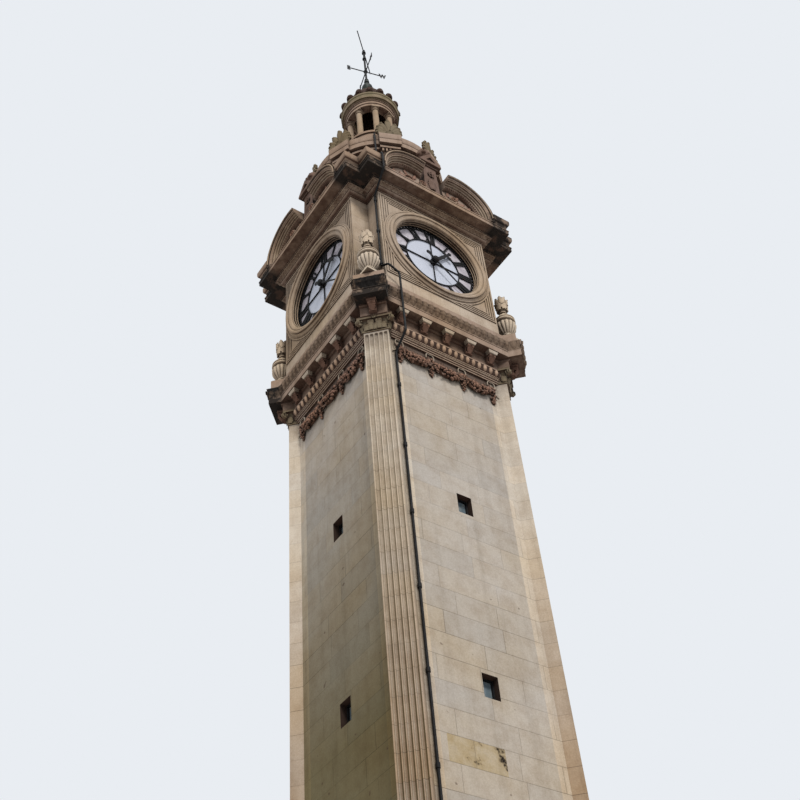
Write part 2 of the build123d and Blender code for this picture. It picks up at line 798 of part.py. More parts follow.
half_arch -= slab(2 * pediment_radius, -2 * top_face, 0, z_clock, z_attic_cornice, x_mid=pediment_gap - pediment_radius)
half_arch += arch_place * extrude(arch_section, pediment_sink)
half_arch += slab(pediment_centre - pediment_gap, tympanum_setback - top_face, -tympanum_back, z_top_cyma,
                  z_top_cyma + pediment_sink, x_mid=(pediment_centre + pediment_gap) / 2)
scroll_x = pediment_gap + scroll_radius
half_arch += facing(scroll_x, -top_face + arch_step, z_top_cyma + scroll_radius) * Cylinder(
    scroll_radius, tympanum_setback, align=(Align.CENTER, Align.CENTER, Align.MAX))
pair = [half_arch, mirror(half_arch, about=Plane.YZ)]
parts["pediments"] = Compound([on_side(piece, angle) for angle in sides.values() for piece in pair])

# Gabled pedestal with a carved knop in each gap
gable_low = z_top_cyma + pedestal_height
pedestal_mid = -pedestal_face + pedestal_depth / 2
foot_face = Plane((0, pedestal_mid, z_top_cyma)) * Rectangle(pedestal_foot_width, pedestal_depth)
top_rectangle = Plane((0, pedestal_mid, gable_low)) * Rectangle(pedestal_top_width, pedestal_depth)
pedestal = loft([foot_face, top_rectangle])
pedestal += slab(pedestal_top_width + 2 * gable_eaves, -pedestal_face - gable_eaves / 2, pedestal_mid,
                 gable_low, gable_low + gable_eaves)
gable_outline = Polygon((-gable_width / 2, gable_eaves), (gable_width / 2, gable_eaves),
                        (gable_width / 2, 2 * gable_eaves), (0, gable_rise + gable_eaves),
                        (-gable_width / 2, 2 * gable_eaves), align=None)
gable_panel = offset(gable_outline, -gable_border, kind=Kind.INTERSECTION)
gable = extrude(facing(0, -gable_face, gable_low) * gable_outline, -(gable_face - pedestal_face + pedestal_depth))
gable -= extrude(facing(0, -gable_face, gable_low) * gable_panel, -gable_sink)
pedestal += gable
knop_y = -gable_face + (gable_face - pedestal_face + pedestal_depth) / 2
knop_low = gable_low + gable_rise * 0.6
knop = lathed([(0, 0, 0), (knop_radius * 0.45, 0, -6), (knop_radius * 0.36, knop_height * 0.36, 0),
               (knop_radius * 0.72, knop_height * 0.36, 10), (knop_radius * 0.5, knop_height * 0.44, 0),
               (knop_radius * 0.66, knop_height * 0.5, 22), (knop_radius * 0.7, knop_height * 0.78, 16),
               (knop_radius * 0.2, knop_height, 0), (0, knop_height, 0)])
for index in range(6):
    lobe = Pos(knop_radius * 0.68, 0, knop_height * 0.62) * Sphere(knop_radius * 0.34)
    knop += Rot(0, 0, 60 * index) * lobe
pedestal += Pos(0, knop_y, knop_low) * knop
for flip in (-1, 1):
    for share in (0.3, 0.62):
        crocket = Sphere(knop_radius * 0.36)
        place = Pos(flip * gable_width / 2 * (1 - share), knop_y, gable_low + gable_eaves * 2
                    + (gable_rise - gable_eaves) * share)
        pedestal += place * crocket
parts["pediment_pedestals"] = Compound(round_the_tower(pedestal, 4))

# Round attic with eight shallow piers
pier_turn = 180 / attic_pier_count
attic_profile = band(attic_base_out, z_attic, z_attic + 3 * attic_base_out)
attic_profile += quarter((attic_base_out, z_attic + 3 * attic_base_out), (0, z_attic + 4 * attic_base_out), False)
attic_profile += [(0, z_attic_cornice)]
attic_pier_plan = block_plan(attic_inner + 2 * fillet, attic_pier_reach, attic_pier_half, gain=attic_side_gain)
attic = turned_ring(attic_radius, attic_profile, attic_inner)
attic_pier = moulded(attic_pier_plan, attic_profile)
for piece in round_the_tower(attic_pier, attic_pier_count, first=pier_turn):
    attic += piece
parts["attic_drum"] = attic

# Attic cornice, broken forward over the piers, with dentils on each break
cornice_step = attic_cornice_height / 15
cornice_profile = band(fillet, z_attic_cornice, z_attic_cornice + 3 * cornice_step)
cornice_profile += band(dentil_out + fillet, z_attic_cornice + 3 * cornice_step, z_attic_cornice + 5 * cornice_step)
cornice_profile += band(dentil_out / 2, z_attic_cornice + 5 * cornice_step, z_attic_cornice + 6 * cornice_step)
cornice_profile += band(attic_cornice_out * 0.86, z_attic_cornice + 6 * cornice_step,
                        z_attic_cornice + 10 * cornice_step)
cornice_profile += quarter((attic_cornice_out * 0.86, z_attic_cornice + 10 * cornice_step),
                           (attic_cornice_out, z_roof - cornice_step), True)
cornice_profile += band(attic_cornice_out, z_roof - cornice_step, z_roof)
attic_cornice = turned_ring(attic_radius, cornice_profile, attic_inner)
break_forward = moulded(attic_pier_plan, cornice_profile)
for index in range(dentil_count):
    offset_y = (index - (dentil_count - 1) / 2) * 2 * dentil_width
    break_forward += Pos(attic_pier_reach, offset_y, z_attic_cornice) * Box(
        2 * dentil_out, dentil_width, 3 * cornice_step, align=(Align.CENTER, Align.CENTER, Align.MIN))
for piece in round_the_tower(break_forward, attic_pier_count, first=pier_turn):
    attic_cornice += piece
parts["attic_cornice"] = attic_cornice

# Shell-shaped blocks above the piers
shell_x = attic_pier_reach + attic_cornice_out - shell_setback - shell_depth
shell_z = z_roof + shell_base_height + shell_rise
shell_outline = Pos(0, shell_rise / 2) * Circle(shell_radius)
shell = Pos(shell_x, 0, z_roof) * Box(shell_depth + fillet, 2 * (shell_radius + shell_lobe), shell_base_height,
                                      align=(Align.MIN, Align.CENTER, Align.MIN))
shell_plane = Plane(origin=(shell_x, 0, shell_z), x_dir=(0, 1, 0), z_dir=(1, 0, 0))
fan = Circle(shell_radius) + Pos(0, -shell_rise / 2) * Rectangle(2 * shell_radius, shell_rise)
fan = fan & Pos(0, shell_radius - shell_rise) * Rectangle(4 * shell_radius, 2 * shell_radius)
shell += extrude(shell_plane * fan, shell_depth * 0.8)
for index in range(shell_lobe_count):
    angle = 180 * index / (shell_lobe_count - 1)
    rib = Cone(shell_lobe * 0.35, shell_lobe, shell_radius, align=(Align.CENTER, Align.CENTER, Align.MIN))
    rib += Pos(0, 0, shell_radius) * Sphere(shell_lobe)
    lean = Rot(angle - 90, 0, 0)
    shell += Pos(shell_x + shell_depth * 0.8 - shell_lobe * 0.4, 0, shell_z) * (lean * rib)
parts["carved_blocks"] = Compound(round_the_tower(shell, attic_pier_count, first=pier_turn))

# Roof that sweeps up to the lantern's round plinth
drum_low = roof_height - plinth_drum_height
roof_points = [(0, 0, 0), (roof_outer, 0, 0), (roof_outer, roof_curb, 0), (roof_outer - roof_curb, roof_curb, -roof_hollow),
               (lantern_plinth + 2 * fillet, drum_low, 0), (lantern_plinth, drum_low, 0),
               (lantern_plinth, roof_height - 4 * fillet, 0), (lantern_plinth + 2 * fillet, roof_height - 4 * fillet, 0),
               (lantern_plinth + 2 * fillet, roof_height, 0), (0, roof_height, 0)]
parts["lantern_base"] = Pos(0, 0, z_roof) * lathed(roof_points)

# Lantern columns with bases and capitals
shaft_low = 3 * abacus_height
shaft_high = column_height - 3.5 * abacus_height
column_points = [(0, 0, 0), (column_radius * 1.2, 0, 0), (column_radius * 1.2, abacus_height, 8),
                 (column_radius * 1.16, 2 * abacus_height, -6), (column_radius, shaft_low, 0),
                 (column_radius * 0.9, shaft_high, 0), (column_radius * 1.06, shaft_high, 5),
                 (column_radius * 1.06, shaft_high + fillet, 0), (column_radius * 0.9, shaft_high + fillet, -14),
                 (column_radius * 1.2, column_height - abacus_height, 0), (0, column_height - abacus_height, 0)]
column = lathed(column_points)
for level in (0, column_height - abacus_height):
    column += Pos(0, 0, level) * Box(abacus_size, abacus_size, abacus_height,
                                     align=(Align.CENTER, Align.CENTER, Align.MIN))
column = Pos(column_circle, 0, z_column) * column
parts["lantern_columns"] = Compound(round_the_tower(column, column_count, first=180 / column_count))

# Lantern ring with knobs round its rim
ring_face = ring_radius - ring_cornice_out
ring_mid = z_ring + ring_height * 0.55
ring_profile = band(0, z_ring, z_ring + ring_height * 0.2)
ring_profile += band(fillet, z_ring + ring_height * 0.2, z_ring + ring_height * 0.4)
ring_profile += band(2 * fillet, z_ring + ring_height * 0.4, z_ring + ring_height * 0.46)
ring_profile += quarter((fillet, z_ring + ring_height * 0.46), (ring_cornice_out / 2, ring_mid), True)
ring_profile += band(ring_cornice_out * 0.82, ring_mid, z_ring + ring_height * 0.76)
ring_profile += cyma((ring_cornice_out * 0.82, z_ring + ring_height * 0.76), (ring_cornice_out, z_dome - fillet))
ring_profile += band(ring_cornice_out, z_dome - fillet, z_dome)
parts["lantern_ring"] = turned_ring(ring_face, ring_profile, ring_inner)
bud = lathed([(0, 0, 0), (knob_radius * 0.75, 0, 0), (knob_radius * 0.5, knob_radius * 0.5, 0),
              (knob_radius * 0.7, knob_radius * 0.7, knob_radius * 0.3), (knob_radius * 0.6, knob_radius * 1.9, 3),
              (knob_radius * 0.12, knob_radius * 2.8, 0), (0, knob_radius * 2.8, 0)])
bud = Pos(ring_radius - knob_radius, 0, z_dome) * bud
parts["rim_knobs"] = Compound(round_the_tower(bud, knob_count, first=180 / knob_count))

# Ribbed dome: a shell over the ring
dome_rim = ring_radius - 2 * knob_radius - 2 * fillet


def oval(rim, height, count=3):
    """Arcs that follow a quarter of an oval, from the rim to a small eye at the crown."""
    full_turn = math.acos(dome_eye / rim)
    turns = [full_turn * step / (2 * count) for step in range(2 * count + 1)]
    points = [(rim * math.cos(turn), height * math.sin(turn)) for turn in turns]
    return [ThreePointArc(*points[2 * index:2 * index + 3]) for index in range(count)]


def dome_section(out, back):
    """The upright section of the dome between two ovals, for the shell or a rib."""
    outer = oval(dome_rim + out, dome_height + out)
    inner = oval(dome_rim - back, dome_height - back)
    ends = [Line(outer[0] @ 0, inner[0] @ 0), Line(outer[-1] @ 1, inner[-1] @ 1)]
    return Plane.XZ * make_face(Curve() + outer + inner + ends)


dome = revolve(dome_section(0, dome_shell), Axis.Z)
seat_radius = finial_radius + fillet
dome += rod_up(seat_radius, dome_height - dome_shell - fillet, dome_height)
rib = revolve(dome_section(rib_out, rib_out), Axis.Z, revolution_arc=rib_angle) - rod_up(finial_radius, 0, 2 * dome_height)
for piece in round_the_tower(rib, column_count, first=180 / column_count - rib_angle / 2):
    dome += piece
parts["dome"] = Pos(0, 0, z_dome) * dome

# Pear-shaped finial
finial = lathed([(0, 0, 0), (finial_radius, 0, 0), (finial_radius, fillet, -30), (finial_radius * 0.42, finial_height * 0.16, 0),
                 (finial_radius * 0.68, finial_height * 0.16, 10), (finial_radius * 0.68, finial_height * 0.22, 0),
                 (finial_radius * 0.4, finial_height * 0.22, 0), (finial_radius * 0.62, finial_height * 0.3, 34),
                 (finial_radius * 0.74, finial_height * 0.66, -14), (finial_radius * 0.3, finial_height * 0.9, 0),
                 (finial_radius * 0.42, finial_height * 0.9, 6), (finial_radius * 0.42, finial_height, 0),
                 (0, finial_height, 0)])
parts["finial"] = Pos(0, 0, z_finial) * finial

# Rod with a hub, four compass arms and a collar that carries the vane
arm_level = z_rod + arm_level_gap
vane_level = z_rod + vane_height
sleeve_low = vane_level - vane_sleeve_height / 2
rod = rod_up(rod_radius, z_rod, z_rod + rod_height)
rod += Pos(0, 0, arm_level) * lathed([(0, -hub_radius, 0), (rod_radius, -hub_radius, 0), (hub_radius, 0, 8),
                                      (rod_radius, hub_radius, 0), (0, hub_radius, 0)])
for turn in range(4):
    arm = Pos(0, 0, arm_level) * (Rot(0, 90, 0) * Cylinder(
        arm_radius, arm_length, align=(Align.CENTER, Align.CENTER, Align.MIN)))
    rod += Rot(0, 0, 90 * turn + arm_turn) * arm
for level in (z_rod + arm_level_gap * 2.3, sleeve_low - running_gap - collar_thickness):
    rod += rod_up(rod_radius + 2 * arm_radius, level, level + collar_thickness)
rod += rod_up(hub_radius, z_rod, z_rod + 2 * collar_thickness)
parts["compass_rod"] = rod

# Wind vane: an arrow on a sleeve that turns about the rod
sleeve_bore = rod_radius + running_gap
sleeve = rod_up(sleeve_bore + arm_radius, sleeve_low, sleeve_low + vane_sleeve_height)
sleeve += Pos(0, 0, vane_level) * (Rot(0, 90, 0) * Cylinder(arm_radius, 2 * vane_half))
head = Polygon((vane_half, 0), (vane_half - arrow_width * 1.3, arrow_width / 2),
               (vane_half - arrow_width, 0), (vane_half - arrow_width * 1.3, -arrow_width / 2), align=None)
tail = Polygon((-vane_half, tail_height / 2), (-vane_half + tail_height * 0.3, 0), (-vane_half, -tail_height / 2),
               (-vane_half + tail_length * 0.7, -tail_height / 2), (-vane_half + tail_length, 0),
               (-vane_half + tail_length * 0.7, tail_height / 2), align=None)
plates = Plane.XZ * (head + tail)
sleeve += Pos(0, 0, vane_level) * extrude(plates, plate_thickness / 2, both=True)
vane = sleeve - rod_up(sleeve_bore, sleeve_low, sleeve_low + vane_sleeve_height)
parts["wind_vane"] = Rot(0, 0, vane_turn) * vane

# Urns on blocks in the notches of the clock stage
urn_near = (clock_half + notch_face) / root_two + urn_gap
urn_x = urn_near + urn_block_depth / 2
urn_block = Pos(urn_near, 0, z_clock) * Box(urn_block_depth, urn_block_width, urn_block_height,
                                            align=(Align.MIN, Align.CENTER, Align.MIN))
urn_shape = lathed([(0, 0, 0), (urn_radius * 0.62, 0, 0), (urn_radius * 0.62, urn_height * 0.04, -14),
                    (urn_radius * 0.36, urn_height * 0.13, 0), (urn_radius * 0.52, urn_height * 0.13, 6),
                    (urn_radius * 0.52, urn_height * 0.17, 0), (urn_radius * 0.44, urn_height * 0.17, 14),
                    (urn_radius * 0.92, urn_height * 0.46, 0), (urn_radius, urn_height * 0.46, 6),
                    (urn_radius, urn_height * 0.49, 0), (urn_radius * 0.9, urn_height * 0.49, 0),
                    (urn_radius * 0.9, urn_height * 0.6, 0), (urn_radius, urn_height * 0.6, 7),
                    (urn_radius, urn_height * 0.64, 0), (urn_radius * 0.92, urn_height * 0.65, 0),
                    (urn_radius, urn_height * 0.67, 6), (urn_radius * 0.94, urn_height * 0.7, 34),
                    (urn_radius * 0.28, urn_height * 0.87, 0), (urn_radius * 0.2, urn_height * 0.9, 0),
                    (urn_radius * 0.3, urn_height * 0.93, 14), (urn_radius * 0.04, urn_height, 0), (0, urn_height, 0)])
gadroon_low = urn_height * 0.19
gadroon_rise = urn_height * 0.25
gadroon_lean = math.degrees(math.atan2(urn_radius * 0.42, gadroon_rise))
gadroon = Cone(gadroon_radius * 0.4, gadroon_radius, gadroon_rise, align=(Align.CENTER, Align.CENTER, Align.MIN))
gadroon += Pos(0, 0, gadroon_rise) * Sphere(gadroon_radius)
gadroon = Pos(urn_radius * 0.5, 0, gadroon_low) * (Rot(0, gadroon_lean, 0) * gadroon)
for piece in round_the_tower(gadroon, gadroon_count):
    urn_shape += piece
urn = urn_block + Pos(urn_x, 0, z_clock + urn_block_height) * urn_shape
parts["corner_urns"] = Compound(round_the_tower(urn, 4, first=45))

# Glazed windows in iron frames, fixed in their openings
pane_y = -half_width + window_setback
panes, frames = [], []
for level in window_levels:
    panes.append(slab(window_width, pane_y, pane_y + window_glass, level, level + window_height))
    border = slab(window_width, pane_y - window_frame_depth, pane_y, level, level + window_height)
    border -= slab(window_width - 2 * window_frame, pane_y - window_frame_depth, pane_y,
                   level + window_frame, level + window_height - window_frame)
    frames.append(border)
parts["shaft_windows"] = Compound([on_side(pane, angle) for angle in sides.values() for pane in panes])
parts["window_frames"] = Compound([on_side(border, angle) for angle in sides.values() for border in frames])

# Conductor pipe: up the shaft, round the cornices and over the attic to the roof
stand_off = pipe_gap + pipe_radius
pipe_x = -pier_inner + pipe_radius + 2 * fillet
low_y = -half_width - stand_off
cornice_y = -half_width - leaf_out - leaf_flare - fillet - stand_off
notch_x = -notch_face - stand_off
notch_y = -clock_half + pipe_radius + 2.5 * fillet
urn_top = z_clock + urn_block_height + stand_off
top_x = -pediment_centre - pediment_radius - stand_off
top_y = -top_face - stand_off
attic_out = attic_radius + attic_cornice_out + stand_off
attic_angle = math.radians(attic_pipe_angle)
attic_x, attic_y = attic_out * math.cos(attic_angle), attic_out * math.sin(attic_angle)
roof_out = roof_outer + running_gap
roof_x, roof_y = roof_out * math.cos(attic_angle), roof_out * math.sin(attic_angle)
route = [(pipe_x, low_y, z_shaft), (pipe_x, low_y, z_fascia - 6 * pipe_bend),
         (pipe_x, cornice_y, z_fascia - 2 * pipe_bend), (pipe_x, cornice_y, urn_top),
         (notch_x, cornice_y, urn_top + 2 * pipe_bend), (notch_x, notch_y, urn_top + 5 * pipe_bend), (notch_x, notch_y, z_bed - 2 * pipe_bend),
         (top_x, top_y, z_top_corona - pipe_bend), (top_x, top_y, z_attic + stand_off),
         (top_x, attic_y, z_attic + stand_off), (attic_x, attic_y, z_attic + stand_off),
         (attic_x, attic_y, z_roof + stand_off), (roof_x, roof_y, z_roof + stand_off)]
path = FilletPolyline(*route, radius=pipe_bend)
pipe = sweep(Plane(origin=path @ 0, z_dir=path % 0) * Circle(pipe_radius), path=path)
clamp_count = int((z_fascia - z_shaft - collar_pitch) / collar_pitch) + 1
for index in range(clamp_count):
    level = z_shaft + (index + 0.3) * collar_pitch
    pipe += Pos(pipe_x, low_y, 0) * rod_up(collar_radius, level, level + collar_height)
    pipe += slab(collar_radius, low_y, -half_width, level, level + collar_height, x_mid=pipe_x)
for level in (z_dial - dial_radius, z_dial, z_dial + dial_radius):
    pipe += Pos(notch_x, notch_y, 0) * rod_up(collar_radius, level, level + collar_height)
    pipe += Pos(notch_x, notch_y, level) * Box(stand_off, collar_radius, collar_height,
                                               align=(Align.MIN, Align.CENTER, Align.MIN))
parts["conductor_pipe"] = pipe

os.makedirs("parts", exist_ok=True)
for name, shape in parts.items():
    shape.label = name
    export_step(shape, "parts/" + name + ".step")
print(len(parts), "sub-parts written")
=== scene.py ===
import math
import random

import bmesh
import bpy
import numpy as np
from mathutils import Matrix, Vector


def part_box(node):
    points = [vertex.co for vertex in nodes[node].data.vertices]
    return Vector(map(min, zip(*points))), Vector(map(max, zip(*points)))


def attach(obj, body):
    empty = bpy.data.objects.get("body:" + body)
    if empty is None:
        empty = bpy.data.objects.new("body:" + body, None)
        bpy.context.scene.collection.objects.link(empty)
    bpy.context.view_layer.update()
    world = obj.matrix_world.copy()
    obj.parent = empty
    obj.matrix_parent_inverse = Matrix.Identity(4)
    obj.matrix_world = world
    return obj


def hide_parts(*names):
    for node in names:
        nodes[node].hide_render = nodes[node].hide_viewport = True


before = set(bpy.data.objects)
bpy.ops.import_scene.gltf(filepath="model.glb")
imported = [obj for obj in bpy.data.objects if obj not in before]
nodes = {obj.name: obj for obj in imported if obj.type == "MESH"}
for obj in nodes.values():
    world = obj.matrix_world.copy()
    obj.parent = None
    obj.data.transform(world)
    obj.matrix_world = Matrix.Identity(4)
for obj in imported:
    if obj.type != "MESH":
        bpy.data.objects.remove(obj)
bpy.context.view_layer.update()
random.seed(41)
print("frame loaded:", len(nodes), "nodes")


def linearColour(hexCode):
    channels = [int(hexCode[i:i + 2], 16) / 255 for i in (1, 3, 5)]  # sRGB to linear
    return tuple(c / 12.92 if c <= 0.04045 else ((c + 0.055) / 1.055) ** 2.4 for c in channels) + (1.0,)


def addNode(tree, kind, inputs=None, **settings):
    node = tree.nodes.new("ShaderNode" + kind)
    for key, value in settings.items():
        setattr(node, key, value)
    for key, value in (inputs or {}).items():
        if isinstance(value, bpy.types.Node):
            value = next(output for output in value.outputs if output.enabled)
        if isinstance(value, bpy.types.NodeSocket):
            tree.links.new(value, node.inputs[key])
        else:
            node.inputs[key].default_value = value
    return node


def newMaterial(name):
    material = bpy.data.materials.new(name)
    material.use_nodes = True
    material.node_tree.nodes.clear()
    return material, material.node_tree


def finishSurface(tree, base, layers, relief, finish):
    # Colours lie over the base from the lowest up, each as its masks, a colour and a blend. A mask is a node's value,
    # or a value with the range that it comes in and the range that it gives. Then come the bump and the gloss.
    colour = linearColour(base)
    for *masks, tint, blend in layers:
        share = None
        for mask in masks:
            if isinstance(mask, tuple):
                mask = addNode(tree, "MapRange", dict(enumerate(mask)))
            share = mask if share is None else addNode(tree, "Math", {0: share, 1: mask}, operation="MULTIPLY")
        colour = addNode(tree, "Mix", {0: share, 6: colour, 7: linearColour(tint)}, data_type="RGBA", blend_type=blend)
    shader = addNode(tree, "BsdfPrincipled", {"Base Color": colour, **finish})
    if relief:
        bump = addNode(tree, "Bump", dict(zip(("Height", "Strength", "Distance"), relief)))
        tree.links.new(bump.outputs[0], shader.inputs["Normal"])
    addNode(tree, "OutputMaterial", {0: shader})


# Stone: what a user would change. Pattern sizes are real ones in millimetres, levels and places are in metres.
limestoneLook = {
    "pale": "#e6e0d6",          # clean bed of the stone
    "warm": "#ddd0ba",          # iron-rich beds
    "grey": "#cfccc6",
    "ochre": "#d9c69e",         # the one block cut from a yellower bed
    "joint": "#8b8375",
    "mottle": "#d3c6b8",
    "run": "#9c9080",           # streaks that rain leaves down a face
    "grit": "#b5aa9b",
    # soot spots on the yellow block, and painted shade in hollows and crevices
    "sootAndHollowShade": "#2e2520",
    "crust": "#171412",         # black gypsum crust where rain never washes
    "brownDirtAndShade": "#4a342a",           # brown dirt in chips, and painted shade under ledges, on faces that look down and on the frieze
    "recess": "#3a2a22",        # painted shade in the reveals of the small windows
    "moss": "#56603a",
    "leftShadeAndAlgae": "#8d8659",         # painted shade on the left face, more towards the ground, with a green algae tint
    "lowBrowning": "#bda894",       # the pilasters turn browner and darker towards the ground
    "cloudMm": 700,
    "stainMm": 95,
    "grainMm": 9,
    "chipMm": 60,
    "courseMm": 330,
    "blockMm": 880,
    "jointMm": 8,               # real joints are 3 mm; drawn coarser so that they show
    "courseLevelMm": 3877,
    "blockShift": 40.17,        # moves the upright joints along the walls
    "yellowBlock": (-0.715, 0.065, 7.837, 8.167),   # from and to along the wall, then in height
    "windows": (0.1165, 0.1595, 8.939, 11.679),     # half width, half height, levels of the two rows
    "leftShadeLevels": (13.8, 8.5),                     # where it starts and where it is full
    "lowBrowningLevels": (12.2, 8.0),
    "ledgeShadeAndDirt": {"flutedLimestone": (14.1, 14.4, 0.4), "sawnLimestoneWall": (14.2, 14.3, 0.85)},
    "dryCorner": (0.98, 1.12),                      # how far from both middle lines the crust starts and is full
    "crustBands": ((15.13, 0.185), (18.155, 0.125), (18.28, 0.17)),   # level and half height
    "friezeShadeBand": (14.84, 0.13),
    "rimMoss": (0.2, 0.12),                         # below the top of the lantern's ring
}
# the third column darkens hollows and crevices as painted shade, the fifth darkens faces that look down as painted
# shade
kindKeys = ("tint", "courses", "hollowShade", "moss", "under", "crust", "streaks")
stoneKinds = {
    "sawnLimestoneWall": ("#d9d7d6", 0.46, 0.5, 0.1, 0.5, 0.0, 0.22),
    "flutedLimestone": ("#f6f1ea", 0.5, 0.6, 0.3, 0.5, 0.0, 0.3),
    "clockStageLimestone": ("#e2d6ca", 0.5, 0.55, 0.2, 0.8, 0.3, 0.4),
    "mouldedLimestone": ("#d4c6b9", 0.0, 0.85, 0.35, 0.8, 0.5, 0.4),
    "corniceLimestone": ("#c2b0a6", 0.0, 1.0, 0.7, 0.92, 0.95, 0.5),
    "carvedLimestone": ("#b8968a", 0.0, 1.0, 0.3, 0.7, 0.5, 0.3),
    "eggLimestone": ("#dcc4b4", 0.0, 1.0, 0.2, 0.35, 0.0, 0.3),
    "mossyLimestone": ("#968d7b", 0.0, 1.0, 0.9, 0.7, 0.8, 0.4),
    # the leaf band's dark tint is partly black crust and partly painted shade
    "crustAndShadeLimestone": ("#958579", 0.0, 1.0, 0.35, 0.8, 1.0, 0.4),
    "blackenedLimestone": ("#574641", 0.0, 1.0, 0.3, 0.7, 0.0, 0.5),
    "redLimestone": ("#8f7b75", 0.0, 1.0, 0.2, 0.8, 0.4, 0.5),
    "urnLimestone": ("#f8f0e8", 0.0, 0.8, 0.25, 0.6, 0.0, 0.3),
}


def limestone(name):
    # Sawn or carved limestone: chalky with no gloss, faint joints, painted shade in every hollow and on faces that look
    # down, and black crust where it is dry
    look, kind = limestoneLook, dict(zip(kindKeys, stoneKinds[name]))
    material, tree = newMaterial(name)
    coords = addNode(tree, "TexCoord")
    place = coords.outputs["Object"]
    x, y, z = addNode(tree, "SeparateXYZ", {0: place}).outputs
    facingX, facingY, facingZ = addNode(tree, "SeparateXYZ", {0: coords.outputs["Normal"]}).outputs
    farX, farY, turnedX, turnedY = [addNode(tree, "Math", {0: value}, operation="ABSOLUTE")
                                    for value in (x, y, facingX, facingY)]
    nearer = addNode(tree, "Math", {0: farX, 1: farY}, operation="MINIMUM")
    bigCloud, stain, grain = [
        addNode(tree, "TexNoise", {"Vector": place, "Scale": 500 / look[size], "Detail": detail, "Roughness": rough})
        for size, detail, rough in (("cloudMm", 4.0, 0.5), ("stainMm", 5.0, 0.62), ("grainMm", 4.0, 0.6))]
    patches = addNode(tree, "MapRange", {0: stain, 1: 0.3, 2: 0.6, 3: 0.6, 4: 1.0})
    layers = [((bigCloud, 0.38, 0.64), look["warm"], "MIX")]
    height = addNode(tree, "Math", {0: stain, 1: grain}, operation="ADD")
    height = addNode(tree, "Math", {0: height, 1: 0.4}, operation="MULTIPLY")

    if kind["courses"]:
        outward = addNode(tree, "Math", {0: turnedY, 1: 0.06}, operation="ADD")
        sideways = addNode(tree, "Math", {0: turnedX, 1: outward}, operation="GREATER_THAN")
        along = addNode(tree, "Mix", {0: sideways, 2: x, 3: y}, data_type="FLOAT")
        along = addNode(tree, "Math", {0: along, 1: look["blockShift"]}, operation="ADD")
        firstCourse = (30 * look["courseMm"] - look["courseLevelMm"]) / 1000
        rise = addNode(tree, "Math", {0: z, 1: firstCourse}, operation="ADD")
        blocks = addNode(tree, "TexBrick", {
            "Vector": addNode(tree, "CombineXYZ", {0: along, 1: rise}), "Color1": (0, 0, 0, 1), "Color2": (1, 1, 1, 1),
            "Mortar": (0.5, 0.5, 0.5, 1), "Scale": 1.0, "Mortar Size": look["jointMm"] / 2000, "Mortar Smooth": 0.3,
            "Bias": 0.0, "Brick Width": look["blockMm"] / 1000, "Row Height": look["courseMm"] / 1000},
            offset=0.37, offset_frequency=2, squash=0.7, squash_frequency=3)
        shade, inJoint = blocks.outputs["Color"], blocks.outputs["Fac"]
        lowX, highX, lowZ, highZ = look["yellowBlock"]
        yellow = (addNode(tree, "Math", {0: x, 1: (lowX + highX) / 2, 2: (highX - lowX) / 2}, operation="COMPARE"),
                  addNode(tree, "Math", {0: z, 1: (lowZ + highZ) / 2, 2: (highZ - lowZ) / 2}, operation="COMPARE"),
                  addNode(tree, "Math", {0: facingY, 1: -0.5}, operation="LESS_THAN"))
        pitted = addNode(tree, "MapRange", {0: x, 1: lowX, 2: highX, 3: 0.0, 4: 0.12})
        pitted = addNode(tree, "Math", {0: stain, 1: pitted}, operation="ADD")
        layers += [
            ((shade, 0.6, 1.0, 0.0, 0.4), look["warm"], "MIX"),
            ((shade, 0.0, 0.4, 0.5, 0.0), look["grey"], "MIX"),
            (*yellow, (stain, 0.3, 0.6, 0.5, 1.0), look["ochre"], "MIX"),
            (*yellow, (pitted, 0.64, 0.72), look["sootAndHollowShade"], "MIX"),
            (inJoint, (bigCloud, 0.4, 0.62, kind["courses"] * 0.5, kind["courses"] * 1.7), look["joint"], "MIX")]
        height = addNode(tree, "Math", {0: height, 1: inJoint}, operation="SUBTRACT")

    stretched = addNode(tree, "VectorMath", {0: place, 1: (5.0, 5.0, 0.3)}, operation="MULTIPLY")
    runs = addNode(tree, "TexNoise", {"Vector": stretched, "Scale": 1.3, "Detail": 4.0, "Roughness": 0.6})
    layers += [
        (1.0, kind["tint"], "MULTIPLY"),
        ((stain, 0.42, 0.7, 0.0, 0.4), look["mottle"], "MULTIPLY"),
        ((runs, 0.48, 0.75, 0.0, kind["streaks"]), look["run"], "MULTIPLY"),
        # painted shade: the left face darkens towards the ground, tinted green like algae
        ((facingX, -0.75, -0.98), (z, *look["leftShadeLevels"], 0.0, 0.9), look["leftShadeAndAlgae"], "MULTIPLY")]

    if name == "flutedLimestone":
        lesser = addNode(tree, "Math", {0: turnedX, 1: turnedY}, operation="MINIMUM")
        layers.append(((lesser, 0.05, 0.3, 0.25, 1.0), (z, *look["lowBrowningLevels"], 0.0, 0.75), look["lowBrowning"],
                       "MULTIPLY"))
    if name == "sawnLimestoneWall":
        # painted shade in the window reveals, and brown chips over the wall
        halfWidth, halfHeight, *rows = look["windows"]
        lowRow, highRow = [addNode(tree, "Math", {0: z, 1: row, 2: halfHeight}, operation="COMPARE") for row in rows]
        inRow = addNode(tree, "Math", {0: lowRow, 1: highRow}, operation="MAXIMUM")
        inWidth = addNode(tree, "Math", {0: nearer, 1: halfWidth}, operation="LESS_THAN")
        chips = addNode(tree, "TexNoise", {"Vector": place, "Scale": 500 / look["chipMm"], "Detail": 1.0})
        layers += [(inRow, inWidth, look["recess"], "MIX"), ((chips, 0.74, 0.78, 0.0, 0.55), look["brownDirtAndShade"], "MIX")]
